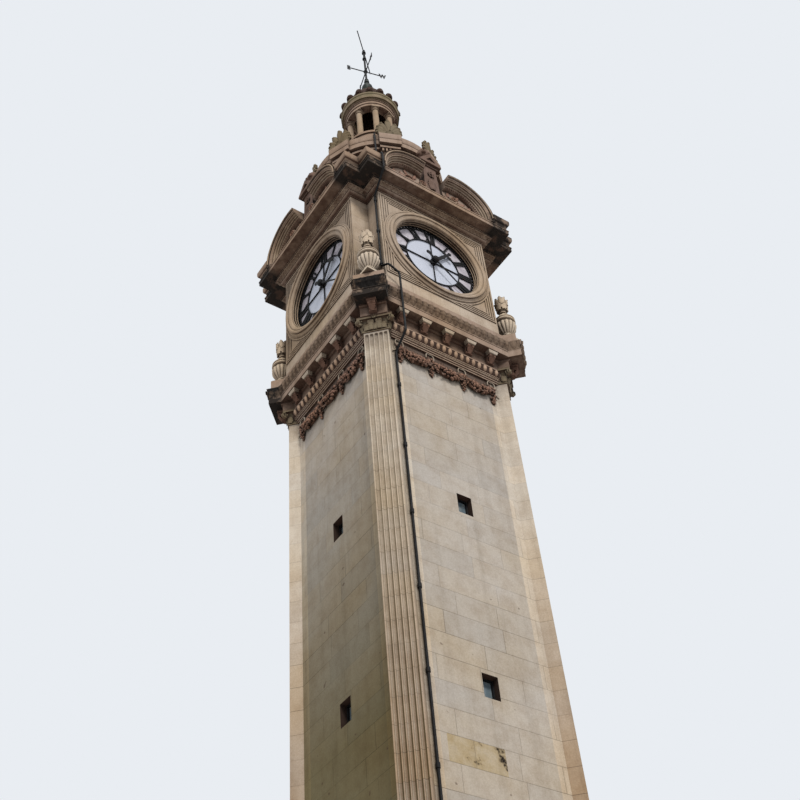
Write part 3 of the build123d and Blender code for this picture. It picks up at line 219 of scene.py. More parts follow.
    # painted shade and brown dirt on the wall and the pilaster tops just under the entablature
    if name in look["ledgeShadeAndDirt"]:
        ledgeLow, ledgeFull, share = look["ledgeShadeAndDirt"][name]
        ragged = addNode(tree, "MapRange", {0: stain, 1: 0.3, 2: 0.7, 3: -0.06, 4: 0.06})
        underLedge = addNode(tree, "Math", {0: z, 1: ragged}, operation="ADD")
        layers.append(((underLedge, ledgeLow, ledgeFull, 0.0, share), look["brownDirtAndShade"], "MIX"))

    # painted shade: hollows and crevices found by ambient occlusion darken towards the soot colour, and faces that look
    # down towards the brown one
    hollow = addNode(tree, "AmbientOcclusion", {"Distance": 0.35}, samples=6, only_local=False).outputs["AO"]
    crevice = addNode(tree, "AmbientOcclusion", {"Distance": 0.05}, samples=4, only_local=False).outputs["AO"]
    layers += [
        ((hollow, 0.82, 0.3, 0.0, kind["hollowShade"]), patches, look["sootAndHollowShade"], "MIX"),
        ((crevice, 0.8, 0.4, 0.0, 0.85 * kind["hollowShade"]), look["sootAndHollowShade"], "MIX"),
        ((facingZ, -0.2, -0.75, 0.0, kind["under"]), patches, look["brownDirtAndShade"], "MIX")]

    if kind["crust"]:
        lowBand, highBand, endBand, friezeShade = [
            addNode(tree, "Math", {0: z, 1: level, 2: half}, operation="COMPARE")
            for level, half in (*look["crustBands"], look["friezeShadeBand"])]
        rightEnd = addNode(tree, "Math", {0: x, 1: 0.6}, operation="GREATER_THAN")
        notRight = addNode(tree, "Math", {0: facingX, 1: 0.5}, operation="LESS_THAN")
        washed = addNode(tree, "Math", {0: rightEnd, 1: notRight}, operation="MULTIPLY")
        unwashed = addNode(tree, "Math", {0: 1.0, 1: washed}, operation="SUBTRACT")
        lowBand = addNode(tree, "Math", {0: lowBand, 1: unwashed}, operation="MULTIPLY")
        rightHalf = addNode(tree, "Math", {0: x, 1: 0.0}, operation="GREATER_THAN")
        endBand = addNode(tree, "Math", {0: endBand, 1: rightHalf}, operation="MULTIPLY")
        sheltered = addNode(tree, "Math", {0: lowBand, 1: highBand}, operation="MAXIMUM")
        sheltered = addNode(tree, "Math", {0: sheltered, 1: endBand}, operation="MAXIMUM")
        layers += [
            ((nearer, *look["dryCorner"]), sheltered, (stain, 0.62, 0.5, 0.35, kind["crust"]), look["crust"], "MIX"),
            # painted shade on the frieze under the corona, on its upright and downward faces
            (friezeShade, patches, (facingZ, 0.6, 0.2, 0.0, 0.6), look["brownDirtAndShade"], "MIX")]
    if name == "corniceLimestone":
        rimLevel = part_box("lantern_ring")[1][2]
        rimStart, rimFull = (rimLevel - drop for drop in look["rimMoss"])
        layers.append(((z, rimStart, rimFull, 0.0, 0.7 * kind["moss"]), patches, look["moss"], "MIX"))
    layers += [
        ((facingZ, 0.2, 0.75, 0.0, kind["moss"]), (stain, 0.36, 0.56), look["moss"], "MIX"),
        ((grain, 0.35, 0.7, 0.0, 0.3), look["grit"], "MULTIPLY")]
    finishSurface(tree, look["pale"], layers, (height, 0.5, 0.006), {"Roughness": 0.92, "Specular IOR Level": 0.22})
    return material


stones = {name: limestone(name) for name in stoneKinds}

# Painted cast iron: black gloss paint gone matt, with rust spots and a little dust
ironLook = {"paint": "#0b0c0f", "dust": "#26231f", "rust": "#3a2118", "patchMm": 40, "relief": (0.3, 0.002)}
paintedIron, tree = newMaterial("paintedCastIron")
place = addNode(tree, "TexCoord").outputs["Object"]
patch = addNode(tree, "TexNoise", {"Vector": place, "Scale": 500 / ironLook["patchMm"], "Detail": 5.0,
                                   "Roughness": 0.65})
finishSurface(tree, ironLook["paint"],
              [((patch, 0.5, 0.75, 0.0, 0.5), ironLook["dust"], "MIX"), ((patch, 0.66, 0.72), ironLook["rust"], "MIX")],
              (patch, *ironLook["relief"]),
              {"Roughness": addNode(tree, "MapRange", {0: patch, 1: 0.3, 2: 0.7, 3: 0.55, 4: 0.85}),
               "Specular IOR Level": 0.3})

# Cast finial: dark metal with a dull green bloom that runs down it
finialLook = {"metal": "#16191a", "bloom": "#343f35", "patchMm": 70, "metallic": 0.35, "roughness": 0.6,
              "relief": (0.4, 0.004)}
finialMetal, tree = newMaterial("weatheredCastMetal")
place = addNode(tree, "TexCoord").outputs["Object"]
runs = addNode(tree, "VectorMath", {0: place, 1: (3.0, 3.0, 0.6)}, operation="MULTIPLY")
patch = addNode(tree, "TexNoise", {"Vector": runs, "Scale": 500 / finialLook["patchMm"], "Detail": 4.0})
finishSurface(tree, finialLook["metal"], [((patch, 0.42, 0.65), finialLook["bloom"], "MIX")],
              (patch, *finialLook["relief"]),
              {"Metallic": finialLook["metallic"], "Roughness": finialLook["roughness"]})

# Opal glass: milky and rolled, slightly cloudy, bluer inside the numeral ring, with a soft gloss
opalLook = {"inner": "#ccd2df", "outer": "#d6d2d8", "stain": "#a79fa8", "mottleMm": 45, "numeralRing": 0.521,
            "dialLevel": 16.805, "relief": (0.12, 0.002)}
opalGlass, tree = newMaterial("rolledOpalGlass")
place = addNode(tree, "TexCoord").outputs["Object"]
x, y, z = addNode(tree, "SeparateXYZ", {0: place}).outputs
farX, farY = [addNode(tree, "Math", {0: value}, operation="ABSOLUTE") for value in (x, y)]
acrossDial = addNode(tree, "Math", {0: farX, 1: farY}, operation="MINIMUM")
upDial = addNode(tree, "Math", {0: z, 1: opalLook["dialLevel"]}, operation="SUBTRACT")
dialOut = addNode(tree, "VectorMath", {0: addNode(tree, "CombineXYZ", {0: acrossDial, 1: upDial})}, operation="LENGTH")
ringSide = addNode(tree, "Math", {0: dialOut.outputs["Value"], 1: opalLook["numeralRing"]}, operation="GREATER_THAN")
mottle = addNode(tree, "TexNoise", {"Vector": place, "Scale": 500 / opalLook["mottleMm"], "Detail": 4.0,
                                    "Roughness": 0.65})
finishSurface(tree, opalLook["inner"],
              [(ringSide, opalLook["outer"], "MIX"),
               ((mottle, 0.42, 0.66, 0.1, 0.95), ringSide, opalLook["stain"], "MIX")],
              (mottle, *opalLook["relief"]), {"Roughness": 0.32, "IOR": 1.5})

# Window glass: drawn sheet glass, its grey-blue colour painted shade of the unlit room behind, gently waved and patched
# with dust
paneLook = {"glass": "#66767f", "dust": "#8a8c86", "dustMm": 55, "waveMm": 150, "relief": (0.15, 0.003)}
windowGlass, tree = newMaterial("dustySheetGlass")
place = addNode(tree, "TexCoord").outputs["Object"]
dust = addNode(tree, "TexNoise", {"Vector": place, "Scale": 500 / paneLook["dustMm"], "Detail": 5.0, "Roughness": 0.6})
wave = addNode(tree, "TexNoise", {"Vector": place, "Scale": 500 / paneLook["waveMm"], "Detail": 1.0})
finishSurface(tree, paneLook["glass"], [((dust, 0.45, 0.72, 0.05, 0.75), paneLook["dust"], "MIX")],
              (wave, *paneLook["relief"]),
              {"Roughness": addNode(tree, "MapRange", {0: dust, 1: 0.4, 2: 0.7, 3: 0.06, 4: 0.5}), "IOR": 1.5})

# Painted boards: brushed oil paint over planed oak, with the grain just proud of the paint
doorLook = {"paint": "#27392f", "worn": "#5d6355", "grainMm": 14, "roughness": 0.48, "relief": (0.35, 0.001)}
paintedOak, tree = newMaterial("brushPaintedOak")
place = addNode(tree, "TexCoord").outputs["Object"]
fibre = addNode(tree, "VectorMath", {0: place, 1: (1.0, 1.0, 0.05)}, operation="MULTIPLY")
fibre = addNode(tree, "TexNoise", {"Vector": fibre, "Scale": 500 / doorLook["grainMm"], "Detail": 4.0})
finishSurface(tree, doorLook["paint"], [((fibre, 0.55, 0.72, 0.0, 0.6), doorLook["worn"], "MIX")],
              (fibre, *doorLook["relief"]), {"Roughness": doorLook["roughness"]})

stoneFor = {
    "base_step": "sawnLimestoneWall", "plinth": "sawnLimestoneWall", "shaft": "sawnLimestoneWall",
    "door_surround": "mouldedLimestone", "plinth_cap": "mouldedLimestone", "corner_pilasters": "flutedLimestone",
    "main_entablature": "corniceLimestone", "cornice_brackets": "carvedLimestone", "clock": "clockStageLimestone",
    "dial_surrounds": "mouldedLimestone", "dial_spandrels": "mouldedLimestone", "top_cornice": "corniceLimestone",
    "pediments": "corniceLimestone", "pediment_pedestals": "redLimestone", "attic_drum": "corniceLimestone",
    "attic_cornice": "corniceLimestone", "carved_blocks": "mossyLimestone", "lantern_base": "corniceLimestone",
    "lantern_columns": "mouldedLimestone", "lantern_ring": "corniceLimestone", "rim_knobs": "carvedLimestone",
    "dome": "blackenedLimestone", "corner_urns": "urnLimestone", "pilaster_capitals": "mossyLimestone",
    "festoons": "carvedLimestone",
}
otherFor = {"door": paintedOak, "dial_glasses": opalGlass, "finial": finialMetal, "shaft_windows": windowGlass}
for nodeName, obj in nodes.items():
    material = otherFor.get(nodeName)
    if material is None:
        starts = [start for start in stoneFor if nodeName.startswith(start)]
        material = stones[stoneFor[max(starts, key=len)]] if starts else paintedIron
    for slot in obj.material_slots:
        slot.material = material
print("nodes dressed")

# Carving tools: a shape is (points, faces), with x along the wall, -y out of it and z up


def closedGrid(front, back):
    rows, cols = front.shape[:2]
    corner = np.arange(2 * rows * cols).reshape(2, rows, cols)
    faces = []
    for r in range(rows - 1):
        for c in range(cols - 1):
            faces.append([corner[0, r, c], corner[0, r, c + 1], corner[0, r + 1, c + 1], corner[0, r + 1, c]])
            faces.append([corner[1, r, c], corner[1, r + 1, c], corner[1, r + 1, c + 1], corner[1, r, c + 1]])
    rim = [(0, c) for c in range(cols)] + [(r, cols - 1) for r in range(1, rows)]
    rim += [(rows - 1, c) for c in range(cols - 2, -1, -1)] + [(r, 0) for r in range(rows - 2, 0, -1)]
    for (r, c), (nextR, nextC) in zip(rim, rim[1:] + rim[:1]):
        faces.append([corner[0, nextR, nextC], corner[0, r, c], corner[1, r, c], corner[1, nextR, nextC]])
    points = np.concatenate([front.reshape(-1, 3), back.reshape(-1, 3)])
    return points, [[int(i) for i in face] for face in faces]


def carvedRun(length, low, high, faceOut, relief, cell=0.011, backing=0.006):
    xs = np.linspace(-length / 2, length / 2, max(3, int(length / cell)))
    zs = np.linspace(low, high, max(4, int((high - low) / cell)))
    x, z = np.meshgrid(xs, zs)
    out = np.vectorize(faceOut)(z)
    front = np.stack([x, -(out + relief(x, (z - low) / (high - low))), z], axis=-1)
    back = np.stack([x, -(out - backing), z], axis=-1)
    return closedGrid(front, back)


def tube(path, radii, sides=7):
    path = np.array(path, float)
    radii = np.full(len(path), radii) if np.isscalar(radii) else np.array(radii)
    along = np.gradient(path, axis=0)
    along /= np.linalg.norm(along, axis=1)[:, None]
    side = np.cross(along[0], (0.31, 0.87, 0.38))
    rings = []
    for centre, direction, radius in zip(path, along, radii):
        side = side - direction * side.dot(direction)
        side /= np.linalg.norm(side)
        other = np.cross(direction, side)
        turns = np.arange(sides) * 2 * math.pi / sides
        rings.append(centre + radius * (np.cos(turns)[:, None] * side + np.sin(turns)[:, None] * other))
    faces = [list(range(sides))[::-1], [len(path) * sides - sides + i for i in range(sides)]]
    for ring in range(len(path) - 1):
        for i in range(sides):
            j = (i + 1) % sides
            faces.append([ring * sides + i, ring * sides + j, (ring + 1) * sides + j, (ring + 1) * sides + i])
    return np.concatenate(rings), faces


def berry(radius, stretch=1.0):
    build = bmesh.new()
    bmesh.ops.create_icosphere(build, subdivisions=1, radius=radius)
    points = np.array([v.co * (1 + 0.08 * math.sin(9 * v.co.x / radius + 5 * v.co.z / radius)) for v in build.verts])
    points[:, 2] *= stretch
    faces = [[v.index for v in face.verts] for face in build.faces]
    build.free()
    return points, faces


def leafShape(width, height, curl, lobes=4, rows=15, cols=7, thick=0.008):
    v = np.linspace(0, 1, rows)[:, None] * np.ones((1, cols))
    u = np.ones((rows, 1)) * np.linspace(-1, 1, cols)[None, :]
    half = width / 2 * (0.55 + 0.45 * np.sin(math.pi * v)) * np.sqrt(np.clip(1.02 - v ** 5, 0.02, 1))
    half = half * (1 + 0.16 * np.cos(2 * math.pi * lobes * v))
    droop = np.clip((v - 0.78) / 0.22, 0, 1) ** 2
    rise = height * (v - 0.16 * droop)
    out = curl * v ** 3 + 0.13 * width * (1 - u ** 2) + 0.035 * width * np.cos(math.pi * (2 * lobes * v - 3 * abs(u)))
    front = np.stack([u * half, -(out + thick), rise], axis=-1)
    back = np.stack([u * half, -(out - 0.12 * width * (1 - u ** 2)), rise], axis=-1)
    return closedGrid(front, back)


def spiral(radius, turns, thick, flip=1):
    share = np.linspace(0, 1, 34)
    angle = flip * 2 * math.pi * turns * share
    reach = radius * (1 - 0.86 * share)
    path = np.stack([reach * np.cos(angle), -0.004 * np.sin(math.pi * share), reach * np.sin(angle)], axis=-1)
    return tube(path, thick * (1.1 - 0.45 * share))


def moved(shape, matrix):
    m = np.array(matrix)
    return shape[0] @ m[:3, :3].T + m[:3, 3], shape[1]


def joined(shapes):
    points, faces, start = [], [], 0
    for verts, polygons in shapes:
        points.append(verts)
        faces += [[i + start for i in polygon] for polygon in polygons]
        start += len(verts)
    return np.concatenate(points), faces


def addPiece(name, shape, material, body="tower", angle=50):
    mesh = bpy.data.meshes.new(name)
    mesh.from_pydata([tuple(p) for p in shape[0]], [], shape[1])
    build = bmesh.new()
    build.from_mesh(mesh)
    bmesh.ops.recalc_face_normals(build, faces=build.faces)
    build.to_mesh(mesh)
    build.free()
    mesh.shade_smooth()
    mesh.set_sharp_from_angle(angle=math.radians(angle))
    mesh.materials.append(material)
    piece = bpy.data.objects.new(name, mesh)
    bpy.context.scene.collection.objects.link(piece)
    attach(piece, body)
    return piece


def turn(degrees):
    return Matrix.Rotation(math.radians(degrees), 4, "Z")


def at(x, y, z):
    return Matrix.Translation((x, y, z))


def lean(degrees):
    return Matrix.Rotation(math.radians(degrees), 4, "Y")  # in the plane of the wall


quarterTurns = (0, 90, 180, 270)
cornerTurns = (45, 135, 225, 315)
bothSides = (-1, 1)
mirror = Matrix.Diagonal((-1, 1, 1, 1))


def sweptArc(profile, centre, stopX=None, steps=60):
    # a closed moulding of (radius, y) points turned in the plane of the wall, full circle or up to an upright cut
    rings = []
    for step in range(steps if stopX is None else steps + 1):
        share = step / steps
        ring = []
        for radius, y in profile:
            bend = 2 * math.pi if stopX is None else math.acos(max(-1, min(1, (stopX - centre[0]) / radius)))
            ring.append((centre[0] + radius * math.cos(bend * share), y, centre[1] + radius * math.sin(bend * share)))
        rings.append(ring)
    count, sides = len(rings), len(profile)
    faces = []
    for ring in range(count if stopX is None else count - 1):
        after = (ring + 1) % count
        for i in range(sides):
            j = (i + 1) % sides
            faces.append([ring * sides + i, ring * sides + j, after * sides + j, after * sides + i])
    if stopX is not None:
        faces += [list(range(sides))[::-1], [(count - 1) * sides + i for i in range(sides)]]
    return np.array(rings).reshape(-1, 3), faces


def beadProfile(radius, y, thick, half=6, last=6):
    # a bead that stands out of a face at y, with half a turn in the given steps, up to the last one
    return [(radius + thick * math.cos(math.pi * i / half), y - thick * math.sin(math.pi * i / half))
            for i in range(last + 1)]


def lathed(profile, sides=40):
    return tube([(0, 0, z) for radius, z in profile], [radius for radius, z in profile], sides)


def roundTower(shapes, turns=quarterTurns):
    return [moved(shape, turn(angle)) for angle in turns for shape in shapes]


def cymaOut(z, low, high, outLow, outHigh):
    middle, step = (low + high) / 2, (outHigh - outLow) / 2
    if z <= middle:
        share = math.asin(min(1, max(0, (z - low) / (middle - low))))
        return outLow + step * (1 - math.cos(share))
    share = math.acos(min(1, max(-1, 1 - (z - middle) / (high - middle))))
    return outLow + step + step * math.sin(share)


def ovoloOut(z, low, high, outLow, outHigh):
    share = math.acos(min(1, max(-1, 1 - (z - low) / (high - low))))
    return outLow + (outHigh - outLow) * math.sin(share)


# Carved bands of the main entablature: eggs and darts, a fine beaded line, and upright leaves
bandLook = {
    "wall": 1.2, "cornerFace": 1.69, "eggs": 18, "eggPitch": 0.108, "eggHalf": (0.037, 0.06), "eggLean": 16,
    "eggPlace": (-1.284, 14.634), "eggLevels": (14.574, 14.694), "eggOvolo": (14.57, 14.695, 0.060, 0.096),
    "dart": 0.014, "beadPitch": 0.042, "beadRelief": 0.010, "beadLevels": (14.536, 14.554), "beadFace": 1.26,
    "beadRun": 1.98,
    "leafPitch": 0.11, "leafRelief": 0.02, "leafLevels": (15.104, 15.291), "leafCyma": (15.1, 15.295, 0.236, 0.262),
}


def eggRelief(pitch, depth):
    def relief(x, v):
        u = (x / pitch + 0.5) % 1.0 - 0.5
        reach = np.sqrt((u / 0.3) ** 2 + ((v - 0.52) / 0.46) ** 2)
        egg = depth * np.sqrt(np.clip(1 - reach ** 2, 0, 1))
        husk = 0.12 * depth * np.exp(-((reach - 1.5) / 0.14) ** 2)
        dart = 0.3 * depth * np.clip(1 - (0.5 - abs(u)) / 0.05, 0, 1) * (v < 0.85)
        return 0.002 + np.maximum(np.maximum(egg, husk), dart)
    return relief


def leafRelief(pitch, depth):
    def relief(x, v):
        u = (x / pitch + 0.5) % 1.0 - 0.5
        half = 0.46 * np.sin(math.pi / 2 * np.clip((v - 0.03) / 0.55, 0, 1)) * (1 + 0.07 * np.cos(6 * math.pi * v))
        edge = half - abs(u)
        body = depth * np.clip(edge / 0.09, 0, 1)
        groove = 0.6 * depth * np.exp(-((edge - 0.17) / 0.05) ** 2)
        rib = 0.45 * depth * np.exp(-(u / 0.05) ** 2)
        tongue = 0.55 * depth * np.clip(1 - (0.5 - abs(u)) / 0.1, 0, 1) * (v < 0.5)
        return 0.003 + np.maximum(body - groove + rib * (edge > 0.05), tongue)
    return relief


def dartRelief(x, v):
    u = (x / bandLook["eggPitch"] + 0.5) % 1.0 - 0.5
    return 0.002 + bandLook["dart"] * np.exp(-(u / 0.07) ** 2) * (v < 0.85)


def eggOut(z):
    return bandLook["wall"] + ovoloOut(z, *bandLook["eggOvolo"])


eggGround = carvedRun(bandLook["eggs"] * bandLook["eggPitch"], *bandLook["eggLevels"], eggOut, dartRelief)
addPiece("dartBand", joined(roundTower([eggGround])), stones["blackenedLimestone"])
eggWide, eggTall = bandLook["eggHalf"]
eggTurns = np.linspace(0.08, math.pi - 0.08, 9)
oneEgg = lathed([(eggWide * math.sin(bend), -eggTall * math.cos(bend)) for bend in eggTurns], 12)
eggSlant = Matrix.Rotation(math.radians(bandLook["eggLean"]), 4, "X")
firstEgg = (bandLook["eggs"] - 1) / 2
eggRow = [moved(oneEgg, at((index - firstEgg) * bandLook["eggPitch"], *bandLook["eggPlace"]) @ eggSlant)
          for index in range(bandLook["eggs"])]
addPiece("eggBand", joined(roundTower(eggRow)), stones["eggLimestone"])
beadRelief = eggRelief(bandLook["beadPitch"], bandLook["beadRelief"])
beads = carvedRun(bandLook["beadRun"], *bandLook["beadLevels"], lambda z: bandLook["beadFace"], beadRelief, cell=0.007)
addPiece("beadedLine", joined(roundTower([beads])), stones["mouldedLimestone"])


def leafOut(z):
    return cymaOut(z, *bandLook["leafCyma"])


leafLevels = bandLook["leafLevels"]
leafCarving = leafRelief(bandLook["leafPitch"], bandLook["leafRelief"])
wallLeaves = carvedRun(20 * bandLook["leafPitch"], *leafLevels, lambda z: bandLook["wall"] + leafOut(z), leafCarving)
blockLeaves = carvedRun(4 * bandLook["leafPitch"], *leafLevels,
                        lambda z: bandLook["cornerFace"] + 1.3 * leafOut(z), leafCarving)
cheekLeaves = carvedRun(0.198, *leafLevels, lambda z: 0.181 + 0.25 * leafOut(z), leafRelief(0.099, 0.014))
cheeks = [moved(cheekLeaves, at(0, -1.905, 0) @ turn(side * 90)) for side in bothSides]
leafShapes = roundTower([wallLeaves]) + roundTower([blockLeaves] + cheeks, cornerTurns)
addPiece("leafBandCarving", joined(leafShapes), stones["crustAndShadeLimestone"])
print("entablature carved")

# Bed mould of the top cornice, with a row of small leaves, also round the notched corners
bedLook = {"pitch": 0.07, "relief": 0.012, "levels": (17.987, 18.038), "cyma": (17.985, 18.04, 0.0754, 0.13),
           "wall": 1.38, "notch": 1.056, "notchMiddle": 1.35}


def bedOut(z):
    return cymaOut(z, *bedLook["cyma"])


bedCarving = eggRelief(bedLook["pitch"], bedLook["relief"])
bedRun = carvedRun(2.31, *bedLook["levels"], lambda z: bedLook["wall"] + bedOut(z), bedCarving, cell=0.009)
bedShort = carvedRun(0.28, *bedLook["levels"], lambda z: bedLook["notch"] + 1.2 * bedOut(z), bedCarving, cell=0.009)
bedEnds = [moved(bedShort, at(side * bedLook["notchMiddle"], 0, 0)) for side in bothSides]
addPiece("bedMouldCarving", joined(roundTower([bedRun] + bedEnds)), stones["mouldedLimestone"])

# Festoons: fruit packed over each swag and drop, leaves between, and a looped ribbon with tails at each tie
festoonLook = {"fruitSmall": 0.018, "fruitLarge": 0.032, "perSwag": 120, "perDrop": 34, "leaf": 0.075, "top": 14.31,
               "sag": 0.15, "drop": 0.33, "ties": (-0.826, -0.288, 0.288, 0.826), "ribbon": 0.0105}
festoonTop, swagDrop, wallFace, ties = festoonLook["top"], festoonLook["sag"], -bandLook["wall"], festoonLook["ties"]
fruitKinds = [berry(1.0), berry(1.0, 1.35), berry(1.0, 0.8)]
fruit, leaves, ribbons = [], [], []
oneLeaf = leafShape(0.5, 1.0, 0.3, lobes=3, rows=9, cols=5, thick=0.06)
for left, right in zip(ties[:-1], ties[1:]):
    chord = right - left
    ring = (chord ** 2 / 4 + swagDrop ** 2) / (2 * swagDrop)
    halfTurn = math.asin(chord / 2 / ring)
    for index in range(festoonLook["perSwag"]):
        share = random.uniform(-1, 1)
        thick = 0.012 + 0.072 * (1 - share ** 2)
        across = random.uniform(-1.25, 1.25)
        bend = halfTurn * share
        reach = ring + thick * math.sin(across)
        spot = ((left + right) / 2 + reach * math.sin(bend), wallFace - 0.008 - thick * math.cos(across),
                festoonTop - swagDrop + ring - reach * math.cos(bend))
        size = random.uniform(festoonLook["fruitSmall"], festoonLook["fruitLarge"]) * (1.05 - 0.4 * share ** 2)
        place = at(*spot) @ lean(random.uniform(-60, 60)) @ Matrix.Scale(size, 4)
        fruit.append(moved(random.choice(fruitKinds), place))
        if index % 4 == 0:
            tip = at(*spot) @ lean(math.degrees(bend) + random.choice((-100, 80)) + random.uniform(-30, 30))
            leaves.append(moved(oneLeaf, tip @ Matrix.Scale(festoonLook["leaf"] * random.uniform(0.8, 1.2), 4)))
for tie in ties:
    for index in range(festoonLook["perDrop"]):
        share = random.uniform(0, 1)
        wide = 0.046 * (1 - 0.75 * share ** 2) + 0.006
        turnOut = random.uniform(-1.4, 1.4)
        size = random.uniform(0.9, 1.15) * festoonLook["fruitSmall"] * (1.15 - 0.35 * share)
        spot = (tie + wide * math.sin(turnOut), wallFace - 0.006 - wide * math.cos(turnOut),
                festoonTop - festoonLook["drop"] * share)
        fruit.append(moved(random.choice(fruitKinds), at(*spot) @ Matrix.Scale(size, 4)))
    for side in bothSides:
        for level, slope in ((0.03, 118), (-0.09, 140), (-0.19, 155)):
            leaves.append(moved(oneLeaf, at(tie + side * 0.02, wallFace - 0.02, festoonTop + level) @ lean(side * slope)
                                @ Matrix.Scale(festoonLook["leaf"] * 1.1, 4)))
        loop = [(tie + side * 0.075 * math.sin(math.pi * s) * (1.1 - 0.4 * s),
                 wallFace - 0.012 - 0.014 * math.sin(math.pi * s),
                 festoonTop + 0.02 + 0.115 * s - 0.03 * math.sin(2 * math.pi * s)) for s in np.linspace(0, 1, 12)]
        ribbons.append(tube(loop, festoonLook["ribbon"], 6))
        tail = [(tie + side * (0.035 + 0.10 * s + 0.018 * math.sin(9 * s)), wallFace - 0.010 - 0.005 * math.cos(8 * s),
                 festoonTop + 0.02 - 0.20 * s) for s in np.linspace(0, 1, 14)]
        ribbons.append(tube(tail, np.linspace(0.0115, 0.006, 14), 6))
addPiece("festoonFruit", joined(roundTower([joined(fruit)])), stones["carvedLimestone"])
addPiece("festoonLeaves", joined(roundTower([joined(leaves)])), stones["redLimestone"])
addPiece("festoonRibbons", joined(roundTower([joined(ribbons)])), stones["flutedLimestone"])
print("festoons hung")

# Capitals: lobed leaves over the plain ones, spirals on the volutes and a flower on the abacus
capitalLook = {"lowLeaf": (0.098, 0.128), "highLeaf": (0.098, 0.2), "volute": 0.047, "voluteThick": 0.0075,
               "voluteEye": (0.2335, -1.742, 14.644), "bellLow": 14.49, "flowerLevel": 14.712}
bellLow, capitalFace = capitalLook["bellLow"], -bandLook["cornerFace"]
eyeX, eyeY, eyeZ = capitalLook["voluteEye"]
lowLeaf = leafShape(*capitalLook["lowLeaf"], 0.036, lobes=4)
highLeaf = leafShape(*capitalLook["highLeaf"], 0.054, lobes=5)
capitalShapes = []
for shift in (-0.12, 0, 0.12):
    capitalShapes.append(moved(lowLeaf, at(shift, capitalFace - 0.012, bellLow)))
for shift in (-0.06, 0.06):
    capitalShapes.append(moved(highLeaf, at(shift, capitalFace - 0.018, bellLow)))
for side in bothSides:
    capitalShapes.append(moved(lowLeaf, at(side * 0.19, capitalFace + 0.03, bellLow) @ turn(side * 75)))
    eye = at(side * eyeX, eyeY, eyeZ)
    for face in bothSides:
        curl = spiral(capitalLook["volute"], 1.7, capitalLook["voluteThick"], flip=-side * face)
        capitalShapes.append(moved(curl, eye @ turn(side * 45) @ at(0, face * 0.0225, 0)))
petal = leafShape(0.034, 0.05, 0.012, lobes=1, rows=7, cols=5, thick=0.004)
flower = [moved(petal, lean(72 * index)) for index in range(5)]
flower = joined(flower + [moved(berry(0.012), at(0, -0.014, 0))])
capitalShapes.append(moved(flower, at(0, capitalFace - 0.078, capitalLook["flowerLevel"])))
addPiece("capitalCarving", joined(roundTower(capitalShapes, cornerTurns)), stones["mossyLimestone"])

# Brackets: a curling leaf down the front of each console
bracketLook = {"leaf": (0.10, 0.16, 0.03), "pitch": 0.408, "places": range(-2, 3), "level": 14.765, "lean": 24,
               "face": -1.315, "cornerFace": -1.826}
consoleLeaf = leafShape(*bracketLook["leaf"], lobes=5)
hung = Matrix.Rotation(math.radians(bracketLook["lean"]), 4, "X")
bracketShapes = [moved(consoleLeaf, at(place * bracketLook["pitch"], bracketLook["face"], bracketLook["level"]) @ hung)
                 for place in bracketLook["places"]]
cornerLeaf = [moved(consoleLeaf, at(0, bracketLook["cornerFace"], bracketLook["level"]) @ hung)]
bracketShapes = roundTower(bracketShapes) + roundTower(cornerLeaf, cornerTurns)
addPiece("bracketLeaves", joined(bracketShapes), stones["carvedLimestone"])

# Moulded blocks that cap each console under the corona
capLook = {"half": 0.066, "front": -1.405, "depth": 0.07,
           "steps": ((0.0, 0.0), (0.012, 0.012), (0.012, 0.03), (0.022, 0.042), (0.022, 0.058))}
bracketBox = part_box("cornice_brackets")
capTop, capFront = bracketBox[1][2] - 0.001, capLook["front"]
capSpread, capRise = capLook["steps"][-1]
capBack, capFoot = capFront + capLook["depth"], capTop - capRise
capPoints, capFaces = [], []
for side in bothSides:
    capPoints += [(side * (capLook["half"] + out), capFront - out, capFoot + rise) for out, rise in capLook["steps"]]
    capPoints += [(side * (capLook["half"] + capSpread), capBack, capTop), (side * capLook["half"], capBack, capFoot)]
capCount = len(capPoints) // 2
for i in range(capCount):
    j = (i + 1) % capCount
    capFaces.append([i, j, capCount + j, capCount + i])
capFaces += [list(range(capCount))[::-1], [capCount + i for i in range(capCount)]]
oneCap = (np.array(capPoints), capFaces)
capShapes = [moved(oneCap, at(place * bracketLook["pitch"], 0, 0)) for place in bracketLook["places"]]
addPiece("bracketCaps", joined(roundTower(capShapes)), stones["urnLimestone"])
print("capitals and brackets carved")

# Tympana: a scroll with a flower and leaves in each half pediment, and small eggs along its arch
tympanumLook = {
    "face": -1.505, "leaf": 0.14,
    "scrolls": ((0.455, 18.53, 0.115, 1.5, 0.015, 1, 1.0), (0.66, 18.45, 0.085, 1.4, 0.012, -1, 0.75)),
    "sprigs": ((0.33, 18.46, -40, 1.0), (0.36, 18.62, -15, 0.8), (0.5, 18.65, 40, 0.8), (0.57, 18.55, 75, 0.9),
               (0.72, 18.52, 60, 0.85), (0.76, 18.4, 95, 1.0), (0.42, 18.37, -95, 0.9), (0.55, 18.34, 80, 0.9),
               (0.66, 18.33, 100, 0.8)),
}
face = tympanumLook["face"]
petal = leafShape(0.05, 0.07, 0.02, lobes=1, rows=7, cols=5, thick=0.006)
rosette = [moved(petal, lean(60 * index)) for index in range(6)]
rosette = joined(rosette + [moved(berry(0.018), at(0, -0.02, 0))])
vineLeaf = leafShape(0.085, tympanumLook["leaf"], 0.03, lobes=4)
carving = []
for x, z, radius, turns, thick, way, size in tympanumLook["scrolls"]:
    carving.append(moved(spiral(radius, turns, thick, flip=way), at(x, face - 0.008, z)))
    carving.append(moved(rosette, at(x, face, z) @ Matrix.Scale(size, 4)))
